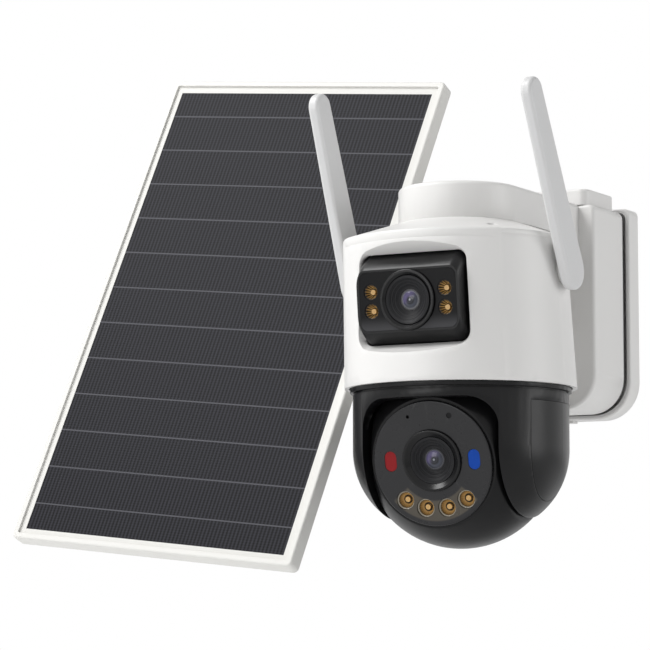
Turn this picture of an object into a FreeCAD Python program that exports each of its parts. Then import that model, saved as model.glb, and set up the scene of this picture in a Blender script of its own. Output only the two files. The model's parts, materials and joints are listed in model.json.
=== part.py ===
import FreeCAD, Part
import math
import os
import Sketcher

# A solar-powered security camera: a battery box on a wall plate, an arm that carries a white
# head with a fixed upper lens and two antennas, a black panning and tilting eyeball below it,
# and a solar panel on a wall bracket of its own.
# Millimetres. +Z is up, the wall is the plane Y = 0 and the camera looks along -Y.
# The origin is the centre of the wall plate's back face.

os.makedirs("parts", exist_ok=True)
doc = FreeCAD.newDocument("solar_camera")
sheet = doc.addObject("Spreadsheet::Sheet", "dims")


# ---------------------------------------------------------------- sizes

class Size:
    """A length or an angle that carries its spreadsheet expression and its value."""

    def __init__(self, text, value):
        self.text = text
        self.value = value

    def _combine(self, sign, other, flipped=False):
        text = other.text if isinstance(other, Size) else repr(float(other))
        value = other.value if isinstance(other, Size) else float(other)
        first, second = (value, self.value) if flipped else (self.value, value)
        left, right = (text, self.text) if flipped else (self.text, text)
        results = {"+": lambda: first + second, "-": lambda: first - second,
                   "*": lambda: first * second, "/": lambda: first / second}
        return Size("(" + left + " " + sign + " " + right + ")", results[sign]())

    def __add__(self, other):
        return self._combine("+", other)

    def __radd__(self, other):
        return self._combine("+", other, True)

    def __sub__(self, other):
        return self._combine("-", other)

    def __rsub__(self, other):
        return self._combine("-", other, True)

    def __mul__(self, other):
        return self._combine("*", other)

    def __rmul__(self, other):
        return self._combine("*", other, True)

    def __truediv__(self, other):
        return self._combine("/", other)

    def __neg__(self):
        return self._combine("*", -1)

    def __float__(self):
        return float(self.value)


rows = []


def size(alias, value):
    """Write one driving dimension in the sheet and return it."""
    cell = "B" + str(len(rows) + 1)
    rows.append(alias)
    sheet.set("A" + str(len(rows)), alias)
    sheet.set(cell, str(value))
    sheet.setAlias(cell, alias)
    return Size("dims." + alias, value)


def root(square):
    """Square root of a size that is itself a square."""
    return Size("sqrt(" + square.text + ")", math.sqrt(square.value))


# fits and clearances
RUN_GAP = size("moving_clearance", 0.4)       # between pieces that move past each other
PIN_GAP = size("pin_clearance", 0.05)         # radial, shaft in its hole
FIT_GAP = size("lid_clearance", 0.15)         # between a lid and the wall round it
WALL = size("shell_wall", 2.4)                # moulded shells

# wall plate and battery box
PLATE_WIDTH = size("plate_width", 90)
PLATE_HEIGHT = size("plate_height", 119)
PLATE_DEPTH = size("plate_depth", 12)
PLATE_FLOOR = size("plate_floor", 3)
LOW_CORNER = size("box_low_corner", 21)
TOP_CORNER = size("box_top_corner", 4)
PLATE_LIP = size("plate_lip", 2.6)            # the plate stands out past the box by this
SEAL_DEPTH = size("seal_depth", 4)
SEAL_INSET = size("seal_inset", 1.2)
SEAL_WIDTH = size("seal_width", 2.6)
BOX_DEPTH = size("box_depth", 38)
HOLE_ACROSS = size("mount_hole_spacing_x", 50)
HOLE_UP = size("mount_hole_spacing_z", 70)
HOLE_RADIUS = size("mount_hole_radius", 2.4)

# arm
ARM_WIDTH = size("arm_width", 66)
ARM_TOP = size("arm_top", 57.5)
ARM_BOTTOM = size("arm_bottom", 37.9)
GUSSET = size("gusset_radius", 24)

# head
PAN_OUT = size("pan_axis_from_wall", 134)
RIM_RADIUS = size("head_rim_radius", 62)
RIM_HEIGHT = size("head_rim_height", -50.5)
SEAM_HEIGHT = size("head_seam_height", 25.7)
SEAM_RADIUS = size("head_seam_radius", 59.6)
HEAD_LEAN = size("head_lean", 6.6)            # the seam's centre stands this far ahead
CREASE_ANGLE = size("front_panel_half_angle", 49.5)
FRONT_FLAT = size("front_panel_radius_ratio", 1.13)
LIP_HEIGHT = size("cap_lip_height", 3)
NECK_RADIUS = size("neck_radius", 33)

# window and upper lens drum
WINDOW_WIDTH = size("window_width", 61.8)
WINDOW_HEIGHT = size("window_height", 47)
WINDOW_CORNER = size("window_corner", 5)
DRUM_RADIUS = size("drum_radius", 25.6)
DRUM_HALF = size("drum_half_width", 29.9)
FACE_HALF = size("drum_face_half_height", 16.5)
FACE_LEAN = size("drum_face_lean", 6)
FACE_OUT = size("drum_face_from_wall", 194)
LENS_HEIGHT = size("upper_lens_height", -8.3)
LENS_RING = size("upper_lens_ring_radius", 15.9)
LENS_BARREL = size("upper_lens_barrel_radius", 12.6)
LENS_GLASS = size("upper_lens_glass_radius", 5.6)
UPPER_LED = size("upper_led_radius", 3.9)
UPPER_LED_SIDE = size("upper_led_offset", 21.6)
UPPER_LED_STEP = size("upper_led_half_step", 5)

# antennas
ANTENNA_PIVOT = size("antenna_pivot_height", 9.5)
ANTENNA_SIDE = size("antenna_boss_face", 61.8)
ANTENNA_LONG = size("antenna_length", 107)
ANTENNA_ROOT = size("antenna_root_radius", 10.3)
ANTENNA_TIP = size("antenna_tip_radius", 7.8)
ANTENNA_THICK = size("antenna_thickness", 6.5)
ANTENNA_PIN = size("antenna_pin_radius", 3)
LEAN_RIGHT = size("antenna_lean_right", 28)
LEAN_LEFT = size("antenna_lean_left", 22)

# yoke and eyeball
PAN_REST = size("pan_rest", 5)
TILT_REST = size("tilt_rest", 13)
TILT_DROP = size("tilt_axis_below_rim", 32.5)
BALL_RADIUS = size("ball_radius", 52.3)
BALL_HALF = size("ball_half_width", 36)
BALL_GAP = size("ball_clearance", 1.1)
YOKE_RADIUS = size("yoke_radius", 57.6)
YOKE_OPENING = size("yoke_opening_half", 38.2)
YOKE_BAND = size("yoke_band_height", 7.9)
YOKE_CORNER = size("yoke_opening_corner", 15)
ARM_ROUND = size("yoke_lower_round", 44)
POCKET_ROUND = size("yoke_pocket_round", 28)
COVER_THICK = size("yoke_cover_thickness", 2)
HUB_RADIUS = size("pan_hub_radius", 9)
HUB_TOP = size("pan_hub_top_above_rim", 36)
TILT_SHAFT = size("tilt_shaft_radius", 4)
PLATE_THICK = size("face_plate_thickness", 1.8)
FACE_DISTANCE = BALL_RADIUS - size("face_plate_setback", 11.3)
GLASS_BACK = FACE_DISTANCE - PLATE_THICK
FACE_PLATE = root(BALL_RADIUS * BALL_RADIUS - GLASS_BACK * GLASS_BACK) - size("face_plate_inset", 1.4)
LOWER_RING = size("lower_lens_ring_radius", 16.3)
LOWER_BARREL = size("lower_lens_barrel_radius", 12.2)
LOWER_GLASS = size("lower_lens_glass_radius", 5.8)
LOWER_LENS_UP = size("lower_lens_offset", 1.6)
SIGNAL_SIDE = FACE_PLATE - size("signal_light_margin", 9.8)
SIGNAL_HALF = size("signal_light_half_width", 3.2)
SIGNAL_STRAIGHT = size("signal_light_straight", 4.1)
LOWER_LED = size("lower_led_radius", 4.8)
GEAR_MODULE = size("pan_gear_module", 0.9)
TILT_MODULE = size("tilt_gear_module", 0.7)

# solar panel and its bracket
PANEL_WIDTH = size("panel_width", 190)
PANEL_HEIGHT = size("panel_height", 306)
PANEL_THICK = size("panel_thickness", 9)
PANEL_BORDER = size("panel_border", 3.4)
PANEL_CORNER = size("panel_corner", 3)
PANEL_SIDE = -PANEL_WIDTH / 2 - size("panel_inner_edge", 70.7)
PANEL_OUT = size("panel_from_wall", 100)
PANEL_LEVEL = size("panel_level", 5.6)
PANEL_TILT = size("panel_tilt", 22.9)
PANEL_ROLL = size("panel_roll", 6.4)
BASE_RADIUS = size("bracket_base_radius", 32)
BASE_DEPTH = size("bracket_base_depth", 7)
BASE_HOLES = size("bracket_hole_circle", 22)
PIVOT_BACK = size("bracket_pivot_behind_panel", 33)
POST_RADIUS = size("bracket_post_radius", 9)

doc.recompute()


# ---------------------------------------------------------------- drawing helpers

PLANES = {"XY": "XY_Plane", "XZ": "XZ_Plane", "YZ": "YZ_Plane"}
subparts = []


def text_of(value):
    return value.text if isinstance(value, Size) else repr(float(value))


def new_body(name):
    """One sub-part as a PartDesign body; its label names its file."""
    body = doc.addObject("PartDesign::Body", name)
    body.Label = name
    subparts.append(body)
    return body


def sketch_on(body, plane, lift=0):
    """A sketch on one of the body's own origin planes, lifted along the plane's normal."""
    support = [f for f in body.Origin.OriginFeatures if f.Role == PLANES[plane]][0]
    sketch = body.newObject("Sketcher::SketchObject", body.Name + "_sketch")
    sketch.AttachmentSupport = [(support, "")]
    sketch.MapMode = "FlatFace"
    sketch.setExpression("AttachmentOffset.Base.z", text_of(lift))
    return sketch


def bind(sketch, kind, places, value):
    """Add one dimensional constraint and tie it to the sheet."""
    index = sketch.addConstraint(Sketcher.Constraint(kind, *places, float(value)))
    sketch.setExpression("Constraints[" + str(index) + "]", text_of(value))


def circle(sketch, across, up, radius):
    index = sketch.addGeometry(Part.Circle(FreeCAD.Vector(float(across), float(up), 0),
                                           FreeCAD.Vector(0, 0, 1), float(radius)))
    bind(sketch, "Radius", (index,), radius)
    bind(sketch, "DistanceX", (-1, 1, index, 3), across)
    bind(sketch, "DistanceY", (-1, 1, index, 3), up)


def outline(sketch, corners):
    """A closed outline. Each corner is (x, y) or (x, y, radius): the radius bends the side that
    leaves the corner, positive for an arc that bulges to the right of its travel."""
    points = [FreeCAD.Vector(float(c[0]), float(c[1]), 0) for c in corners]
    sides = []
    for number, corner in enumerate(corners):
        start = points[number]
        end = points[(number + 1) % len(points)]
        if len(corner) == 3:
            bend = float(corner[2])
            chord = end - start
            reach = chord.Length / 2
            inward = FreeCAD.Vector(-chord.y, chord.x, 0).normalize() * math.copysign(1, bend)
            middle = (start + end) * 0.5
            centre = middle + inward * math.sqrt(max(bend * bend - reach * reach, 0))
            crown = centre - inward * abs(bend)
            shape = Part.Arc(start, crown, end)
        else:
            shape = Part.LineSegment(start, end)
        sides.append(sketch.addGeometry(shape))
    # an arc that runs clockwise is stored with its ends exchanged
    ends = []
    for number, side in enumerate(sides):
        swapped = len(corners[number]) == 3 and float(corners[number][2]) < 0
        ends.append((2, 1) if swapped else (1, 2))
    for number, side in enumerate(sides):
        after = (number + 1) % len(sides)
        sketch.addConstraint(Sketcher.Constraint("Coincident", side, ends[number][1],
                                                 sides[after], ends[after][0]))
        bind(sketch, "DistanceX", (-1, 1, side, ends[number][0]), corners[number][0])
        bind(sketch, "DistanceY", (-1, 1, side, ends[number][0]), corners[number][1])
        if len(corners[number]) == 3:
            radius = corners[number][2]
            bind(sketch, "Radius", (side,), -radius if float(radius) < 0 else radius)


def rectangle(sketch, left, right, low, high, low_round=None, high_round=None):
    """An upright rectangle, with rounded lower and upper corners where given."""
    corners = []
    if low_round is None:
        corners += [(left, low), (right, low)]
    else:
        corners += [(left, low + low_round, low_round), (left + low_round, low),
                    (right - low_round, low, low_round), (right, low + low_round)]
    if high_round is None:
        corners += [(right, high), (left, high)]
    else:
        corners += [(right, high - high_round, high_round), (right - high_round, high),
                    (left + high_round, high, high_round), (left, high - high_round)]
    outline(sketch, corners)


def pad(body, sketch, length, taper=None, midplane=False, reverse=False):
    feature = body.newObject("PartDesign::Pad", body.Name + "_pad")
    feature.Profile = sketch
    feature.setExpression("Length", text_of(length))
    feature.Reversed = reverse
    feature.Midplane = midplane
    if taper is not None:
        feature.setExpression("TaperAngle", text_of(taper))
    return feature


def pocket(body, sketch, length, reverse=False, midplane=False):
    feature = body.newObject("PartDesign::Pocket", body.Name + "_pocket")
    feature.Profile = sketch
    feature.setExpression("Length", text_of(length))
    feature.Reversed = reverse
    feature.Midplane = midplane
    return feature


def turn(body, sketch, axis="V_Axis", cut=False):
    """Revolve a sketch about one of its own axes, or groove with it."""
    kind = "Groove" if cut else "Revolution"
    feature = body.newObject("PartDesign::" + kind, body.Name + "_" + kind.lower())
    feature.Profile = sketch
    feature.ReferenceAxis = (sketch, [axis])
    feature.Angle = 360
    return feature


def loft(body, profile, section, cut=False):
    kind = "SubtractiveLoft" if cut else "AdditiveLoft"
    feature = body.newObject("PartDesign::" + kind, body.Name + "_loft")
    feature.Profile = profile
    feature.Sections = [section]
    feature.Ruled = True
    return feature


def soften(body, radius, chosen):
    """Fillet the edges of the body's present shape that the chooser accepts."""
    doc.recompute()
    base = body.Tip
    names = ["Edge" + str(n + 1) for n, edge in enumerate(base.Shape.Edges) if chosen(edge)]
    feature = body.newObject("PartDesign::Fillet", body.Name + "_fillet")
    feature.Base = (base, names)
    feature.setExpression("Radius", text_of(radius))
    return feature


def flat_in(axis, level, within=0.01):
    """Chooser for edges that lie in one plane square to an axis of the body."""
    def test(edge):
        box = edge.BoundBox
        low = {"x": box.XMin, "y": box.YMin, "z": box.ZMin}[axis]
        high = {"x": box.XMax, "y": box.YMax, "z": box.ZMax}[axis]
        return abs(low - float(level)) < within and abs(high - float(level)) < within
    return test


def shaped(name, shape, placement=None):
    """A sub-part whose shape is made in code from the same sizes."""
    item = doc.addObject("Part::Feature", name)
    item.Label = name
    item.Shape = shape
    if placement is not None:
        item.Placement = placement
    subparts.append(item)
    return item


def rod(radius, start, end, inner=0.0):
    """A round bar, or a tube, between two points."""
    along = end - start
    bar = Part.makeCylinder(float(radius), along.Length, start, along)
    if float(inner) > 0:
        bar = bar.cut(Part.makeCylinder(float(inner), along.Length, start, along))
    return bar


def block(low, high):
    """A box between two opposite corners."""
    return Part.makeBox(high[0] - low[0], high[1] - low[1], high[2] - low[2],
                        FreeCAD.Vector(*low))


def together(solids):
    return Part.makeCompound(solids)


def screw(radius, head_radius, head_high, length, spot, way, socket=True):
    """A pan-head screw: the head's underside sits at the spot, the shank runs along the way."""
    way = FreeCAD.Vector(way).normalize()
    shank = Part.makeCylinder(radius, length, spot, way)
    head = Part.makeCylinder(head_radius, head_high, spot, way * -1)
    body = head.fuse(shank)
    if socket:
        cross = FreeCAD.Rotation(FreeCAD.Vector(0, 0, 1), way * -1)
        slot_long = head_radius * 1.2
        slot_wide = head_radius * 0.28
        for long_x, long_y in ((slot_long, slot_wide), (slot_wide, slot_long)):
            bit = Part.makeBox(long_x, long_y, head_high * 0.55,
                               FreeCAD.Vector(-long_x / 2, -long_y / 2, head_high * 0.45))
            bit.Placement = FreeCAD.Placement(spot, cross).multiply(bit.Placement)
            body = body.cut(bit)
    return body


def gear_outline(teeth, module, phase, backlash):
    """Spur gear outline with involute flanks, one tooth centred on the phase angle."""
    pressure = math.radians(20)
    pitch = teeth * module / 2
    base = pitch * math.cos(pressure)
    tip = pitch + module
    low = pitch - 1.25 * module
    involute = math.tan(pressure) - pressure
    half_tooth = math.pi / (2 * teeth) - backlash / (2 * pitch)
    flank = []
    steps = 5
    for step in range(steps):
        radius = max(base, low) + (tip - max(base, low)) * step / (steps - 1)
        angle_at = math.acos(base / radius)
        flank.append((radius, half_tooth + involute - (math.tan(angle_at) - angle_at)))
    points = []
    for tooth in range(teeth):
        middle = phase + 2 * math.pi * tooth / teeth
        side = [(low, flank[0][1])] + flank
        for radius, half in side:
            points.append((radius, middle - half))
        for radius, half in reversed(side):
            points.append((radius, middle + half))
    ring = [FreeCAD.Vector(r * math.cos(a), r * math.sin(a), 0) for r, a in points]
    return Part.Face(Part.makePolygon(ring + [ring[0]]))


def gear(teeth, module, width, phase, bore, backlash=0.08):
    solid = gear_outline(teeth, module, phase, backlash).extrude(FreeCAD.Vector(0, 0, width))
    if bore > 0:
        solid = solid.cut(Part.makeCylinder(bore, width))
    return solid


def plate_outline(sketch, inset):
    """The wall plate's outline, drawn inwards by an inset."""
    rectangle(sketch, inset - PLATE_WIDTH / 2, PLATE_WIDTH / 2 - inset,
              inset - PLATE_HEIGHT / 2, PLATE_HEIGHT / 2 - inset,
              LOW_CORNER - inset * 0.5, TOP_CORNER)


def drum_sketch(body, plane, lift=0, up=0, lean=None):
    """A sketch lifted off its plane, raised on it, and leaned about its own x axis."""
    sketch = sketch_on(body, plane, lift)
    if lean is not None:
        turned = FreeCAD.Rotation(FreeCAD.Vector(1, 0, 0), float(lean))
        sketch.AttachmentOffset = FreeCAD.Placement(
            FreeCAD.Vector(0, float(up), float(lift)), turned)
    sketch.setExpression("AttachmentOffset.Base.y", text_of(up))
    return sketch


def sine(angle):
    return Size("sin(" + angle.text + ")", math.sin(math.radians(angle.value)))


def cosine(angle):
    return Size("cos(" + angle.text + ")", math.cos(math.radians(angle.value)))


# ---------------------------------------------------------------- wall plate and battery box

SEAL_FRONT = PLATE_DEPTH + SEAL_DEPTH          # the housing starts here, out from the wall
BOX_FRONT = SEAL_FRONT + BOX_DEPTH
BOX_HALF = PLATE_WIDTH / 2 - PLATE_LIP
BOX_LOW = PLATE_LIP - PLATE_HEIGHT / 2
BOX_TOP = PLATE_HEIGHT / 2 - PLATE_LIP
CLOSER = size("back_cover_thickness", 2.2)
BOSS_SIDE = BOX_HALF - WALL - 6
BOSS_UP = BOX_TOP - WALL - 16
BOSS_RADIUS = size("plate_boss_radius", 3.6)
SCREW = size("case_screw_radius", 1.5)
LATCH_HALF = size("latch_half_width", 8)
LATCH_TRAVEL = size("latch_travel", 3)
LATCH_TALL = size("latch_height", 14)
case_screws = []


def make_wall_plate():
    body = new_body("wall_plate")
    outer = sketch_on(body, "XZ")
    plate_outline(outer, Size("0", 0))
    pad(body, outer, PLATE_DEPTH)
    soften(body, size("plate_edge_round", 1.2), flat_in("y", -float(PLATE_DEPTH)))
    tray = sketch_on(body, "XZ", PLATE_DEPTH)
    plate_outline(tray, WALL)
    pocket(body, tray, PLATE_DEPTH - PLATE_FLOOR)
    bosses = sketch_on(body, "XZ", PLATE_FLOOR)
    for side in (-1, 1):
        for up in (-1, 1):
            circle(bosses, BOSS_SIDE * side, BOSS_UP * up, BOSS_RADIUS)
    pad(body, bosses, SEAL_FRONT - PLATE_FLOOR)
    guides = sketch_on(body, "XZ", PLATE_FLOOR)
    for side in (-1, 1):
        near = LATCH_HALF + RUN_GAP
        left, right = (near, near + 2) if side > 0 else (-near - 2, -near)
        rectangle(guides, left, right, WALL - PLATE_HEIGHT / 2 - 0.5, 16 - PLATE_HEIGHT / 2)
    stop_low = LATCH_TALL + LATCH_TRAVEL + RUN_GAP - PLATE_HEIGHT / 2
    rectangle(guides, -LATCH_HALF, LATCH_HALF, stop_low, stop_low + 2)
    pad(body, guides, PLATE_DEPTH - PLATE_FLOOR - 1)
    holes = sketch_on(body, "XZ", PLATE_FLOOR)
    for side in (-1, 1):
        for up in (-1, 1):
            circle(holes, HOLE_ACROSS * side / 2, HOLE_UP * up / 2, HOLE_RADIUS)
    pocket(body, holes, PLATE_FLOOR)
    tapped = sketch_on(body, "XZ", SEAL_FRONT)
    for side in (-1, 1):
        for up in (-1, 1):
            circle(tapped, BOSS_SIDE * side, BOSS_UP * up, SCREW + PIN_GAP)
    pocket(body, tapped, 9)
    slot = sketch_on(body, "XZ", PLATE_DEPTH - 1)
    rectangle(slot, -LATCH_HALF - RUN_GAP, LATCH_HALF + RUN_GAP,
              -PLATE_HEIGHT / 2 - 1, WALL - PLATE_HEIGHT / 2 + 0.5)
    pocket(body, slot, PLATE_DEPTH - PLATE_FLOOR - 1.4)
    return body


def make_release_latch():
    """A tab in the plate's bottom edge, pushed up to free the box."""
    body = new_body("release_latch")
    head = sketch_on(body, "XZ", PLATE_FLOOR + RUN_GAP)
    rectangle(head, -LATCH_HALF, LATCH_HALF, -PLATE_HEIGHT / 2 - 1.2, LATCH_TALL - PLATE_HEIGHT / 2)
    pad(body, head, PLATE_DEPTH - PLATE_FLOOR - 2.4)
    window = sketch_on(body, "XZ", PLATE_DEPTH)
    rectangle(window, -LATCH_HALF + 2.5, LATCH_HALF - 2.5,
              5.5 - PLATE_HEIGHT / 2, LATCH_TALL - 2.5 - PLATE_HEIGHT / 2)
    pocket(body, window, PLATE_DEPTH)
    return body


def make_housing():
    body = new_body("battery_housing")
    outer = sketch_on(body, "XZ", SEAL_FRONT)
    plate_outline(outer, PLATE_LIP)
    pad(body, outer, BOX_DEPTH)
    soften(body, size("box_front_round", 2.2), flat_in("y", -float(BOX_FRONT)))
    inside = sketch_on(body, "XZ", SEAL_FRONT)
    plate_outline(inside, PLATE_LIP + WALL)
    pocket(body, inside, BOX_DEPTH - WALL, reverse=True)
    bay = sketch_on(body, "XY", BOX_TOP)
    rectangle(bay, -BAY_HALF + 12, BAY_HALF - 12, -BOX_FRONT + 7, -SEAL_FRONT - 7)
    pocket(body, bay, WALL)
    top_screws = sketch_on(body, "XY", BOX_TOP)
    for side in (-1, 1):
        circle(top_screws, (BAY_HALF - 5) * side, -BAY_MIDDLE, SCREW + PIN_GAP)
    pocket(body, top_screws, WALL)
    wires = sketch_on(body, "XZ", BOX_FRONT)
    circle(wires, 0, ARM_MIDDLE, 6)
    for side in (-1, 1):
        for up in (-1, 1):
            circle(wires, ARM_SCREW_SIDE * side, ARM_MIDDLE + ARM_SCREW_UP * up,
                   SCREW + PIN_GAP)
    pocket(body, wires, WALL)
    under = sketch_on(body, "XY", BOX_LOW)
    rectangle(under, INLET_SIDE - INLET_HALF, INLET_SIDE + INLET_HALF,
              -INLET_OUT - INLET_DEEP, -INLET_OUT + INLET_DEEP)
    circle(under, BUTTON_SIDE, -INLET_OUT, BUTTON_RADIUS + RUN_GAP)
    pocket(body, under, WALL, reverse=True)
    return body


BAY_HALF = size("bay_cover_half_width", 38)
BAY_HIGH = size("bay_cover_height", 9)
BAY_CORNER = size("bay_cover_corner", 5)
BAY_MIDDLE = SEAL_FRONT + BOX_DEPTH / 2
ARM_MIDDLE = (ARM_TOP + ARM_BOTTOM) / 2
ARM_SCREW_SIDE = size("arm_screw_offset", 25)
ARM_SCREW_UP = size("arm_screw_half_step", 4)
INLET_SIDE = size("inlet_offset", -12)
INLET_HALF = size("inlet_half_width", 5.2)
INLET_DEEP = size("inlet_half_depth", 2.4)
INLET_OUT = size("inlet_from_wall", 36)
BUTTON_SIDE = size("button_offset", 12)
BUTTON_RADIUS = size("button_radius", 4)
BUTTON_TRAVEL = size("button_travel", 0.8)


def make_housing_seal():
    body = new_body("housing_seal")
    ring = sketch_on(body, "XZ", PLATE_DEPTH)
    plate_outline(ring, PLATE_LIP + SEAL_INSET)
    plate_outline(ring, PLATE_LIP + SEAL_INSET + SEAL_WIDTH)
    pad(body, ring, SEAL_DEPTH)
    return body


boards = []
CELL_RADIUS = size("cell_radius", 9.2)
CELL_LONG = size("cell_length", 65)
CELL_STEP = size("cell_spacing", 20)
CELL_OUT = size("cell_from_wall", 30)
CELL_LOW = size("cell_lower_end", -38)
HOLDER_WALL = size("holder_wall", 2)


def make_back_cover():
    body = new_body("housing_back_cover")
    lid = sketch_on(body, "XZ", SEAL_FRONT)
    plate_outline(lid, PLATE_LIP + WALL + FIT_GAP)
    pad(body, lid, CLOSER)
    posts = sketch_on(body, "XZ", SEAL_FRONT + CLOSER)
    for side in (-1, 1):
        circle(posts, side * 24, 43, 2.6)
    pad(body, posts, 4)
    holes = sketch_on(body, "XZ", SEAL_FRONT + CLOSER)
    for side in (-1, 1):
        for up in (-1, 1):
            circle(holes, BOSS_SIDE * side, BOSS_UP * up, SCREW + PIN_GAP)
    pocket(body, holes, CLOSER)
    tray_half = CELL_STEP + CELL_RADIUS + 1.5
    tray_low = CELL_LOW - FIT_GAP - HOLDER_WALL
    tray_top = CELL_LOW + CELL_LONG + FIT_GAP + HOLDER_WALL
    face = SEAL_FRONT + CLOSER
    tray = sketch_on(body, "XZ", face)
    rectangle(tray, -tray_half, tray_half, tray_low, tray_top)
    pad(body, tray, CELL_OUT - face - 4)
    for low in (tray_low, tray_top - HOLDER_WALL):
        end = sketch_on(body, "XZ", face)
        rectangle(end, -tray_half, tray_half, low, low + HOLDER_WALL)
        pad(body, end, CELL_OUT - face + 6)
    grooves = sketch_on(body, "XY", CELL_LOW - FIT_GAP)
    for number in (-1, 0, 1):
        circle(grooves, CELL_STEP * number, -CELL_OUT, CELL_RADIUS + FIT_GAP)
    pocket(body, grooves, CELL_LONG + FIT_GAP * 2, reverse=True)


def make_plate_screws():
    face = -float(SEAL_FRONT + CLOSER)
    for side in (-1, 1):
        for up in (-1, 1):
            spot = FreeCAD.Vector(float(BOSS_SIDE) * side, face, float(BOSS_UP) * up)
            case_screws.append(case_screw(spot, FreeCAD.Vector(0, 1, 0)))


def case_screw(spot, way):
    """Every casing joint uses the same screw; the seat of its head is given."""
    return screw(float(SCREW), 2.4, 1.4, 9, spot, way)


def make_battery():
    cells = []
    low = float(CELL_LOW)
    high = low + float(CELL_LONG)
    out = -float(CELL_OUT)
    for number in (-1, 0, 1):
        foot = FreeCAD.Vector(number * float(CELL_STEP), out, low)
        cell = Part.makeCylinder(float(CELL_RADIUS), float(CELL_LONG) - 1.2, foot)
        button = Part.makeCylinder(3, 1.2, foot + FreeCAD.Vector(0, 0, float(CELL_LONG) - 1.2))
        cells.append(cell.fuse(button))
    shaped("battery_cells", together(cells))


def make_power_board():
    """The charging board behind the bay and the small board under the inlet and the button."""
    back = -float(SEAL_FRONT + CLOSER) - 4
    board = block((-29, back - 1.6, 36), (29, back, 53))
    for low, wide, high in ((-22, 8, 7), (-8, 12, 8), (10, 6, 5)):
        board = board.fuse(block((low, back - 3.4, 41), (low + wide, back - 1.6, 41 + high)))
    boards.append(board)


def make_bay_cover():
    body = new_body("battery_bay_cover")
    outer = sketch_on(body, "XY", BOX_TOP)
    rectangle(outer, -BAY_HALF, BAY_HALF, -BOX_FRONT, -SEAL_FRONT,
              BAY_CORNER, BAY_CORNER)
    pad(body, outer, BAY_HIGH)
    soften(body, size("bay_cover_round", 1.4), flat_in("z", float(BOX_TOP + BAY_HIGH)))
    hollow = sketch_on(body, "XY", BOX_TOP)
    rectangle(hollow, -BAY_HALF + 9, BAY_HALF - 9, -BOX_FRONT + WALL, -SEAL_FRONT - WALL)
    pocket(body, hollow, BAY_HIGH - WALL, reverse=True)
    heads = sketch_on(body, "XY", BOX_TOP + BAY_HIGH)
    for side in (-1, 1):
        circle(heads, (BAY_HALF - 5) * side, -BAY_MIDDLE, 3)
    pocket(body, heads, 2.4)
    shanks = sketch_on(body, "XY", BOX_TOP + BAY_HIGH)
    for side in (-1, 1):
        circle(shanks, (BAY_HALF - 5) * side, -BAY_MIDDLE, SCREW + PIN_GAP)
    pocket(body, shanks, BAY_HIGH)
    for side in (-1, 1):
        spot = FreeCAD.Vector(float(BAY_HALF - 5) * side, -float(BAY_MIDDLE),
                              float(BOX_TOP + BAY_HIGH) - 2.4)
        case_screws.append(case_screw(spot, FreeCAD.Vector(0, 0, -1)))


def make_inlet():
    """The socket for the solar panel's lead, its rubber flap, and the power button."""
    floor = float(BOX_LOW)
    side = float(INLET_SIDE)
    out = -float(INLET_OUT)
    half = float(INLET_HALF - FIT_GAP)
    deep = float(INLET_DEEP - FIT_GAP)
    shell = block((side - half, out - deep, floor + 0.2), (side + half, out + deep, floor + 9))
    hole = block((side - half + 0.7, out - deep + 0.7, floor + 0.2),
                 (side + half - 0.7, out + deep - 0.7, floor + 7.8))
    tongue = block((side - half + 1.9, out - 0.35, floor + 1.2),
                   (side + half - 1.9, out + 0.35, floor + 8))
    shaped("charge_port", shell.cut(hole).fuse(tongue))
    board = block((side - 10, out - 7, floor + 9), (float(BUTTON_SIDE) + 8, out + 7, floor + 10.6))
    for across in (side - 8.6, float(BUTTON_SIDE) + 6.6):
        board = board.fuse(rod(1.2, FreeCAD.Vector(across, out, floor + float(WALL)),
                               FreeCAD.Vector(across, out, floor + 9)))
    boards.append(board)
    shaped("power_boards", together(boards))
    flap_low = floor - float(FLAP_THICK) - 0.3
    flap = block((side - half - 2.2, out - deep - 2.2, flap_low),
                 (side + half + 2.2, out + deep + 2.6, floor - 0.3))
    uprights = [e for e in flap.Edges if abs(e.BoundBox.ZLength - float(FLAP_THICK)) < 0.01]
    flap = flap.makeFillet(1.2, uprights)
    plug = block((side - half + 1.1, out - deep + 1.1, floor - 0.3),
                 (side + half - 1.1, out + deep - 1.1, floor + 0.9))
    edge = out + deep + 2.6
    middle = flap_low + float(FLAP_THICK) / 2
    roll = rod(FLAP_THICK / 2, FreeCAD.Vector(side - half, edge, middle), FreeCAD.Vector(side + half, edge, middle))
    shaped("charge_port_flap", flap.fuse(plug).fuse(roll))
    knob = Part.makeCylinder(float(BUTTON_RADIUS), float(WALL) + 1.2,
                             FreeCAD.Vector(float(BUTTON_SIDE), out, floor - 0.8))
    flange = Part.makeCylinder(float(BUTTON_RADIUS) + 1.2, 0.8,
                               FreeCAD.Vector(float(BUTTON_SIDE), out, floor + float(WALL) + 0.3))
    stem = Part.makeCylinder(1.5, 9 - float(WALL) - 0.8 - 1.1 - float(BUTTON_TRAVEL),
                             FreeCAD.Vector(float(BUTTON_SIDE), out, floor + float(WALL) + 1.1))
    shaped("power_button", knob.fuse(flange).fuse(stem))


FLAP_THICK = size("flap_thickness", 1.3)


# ---------------------------------------------------------------- arm

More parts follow.
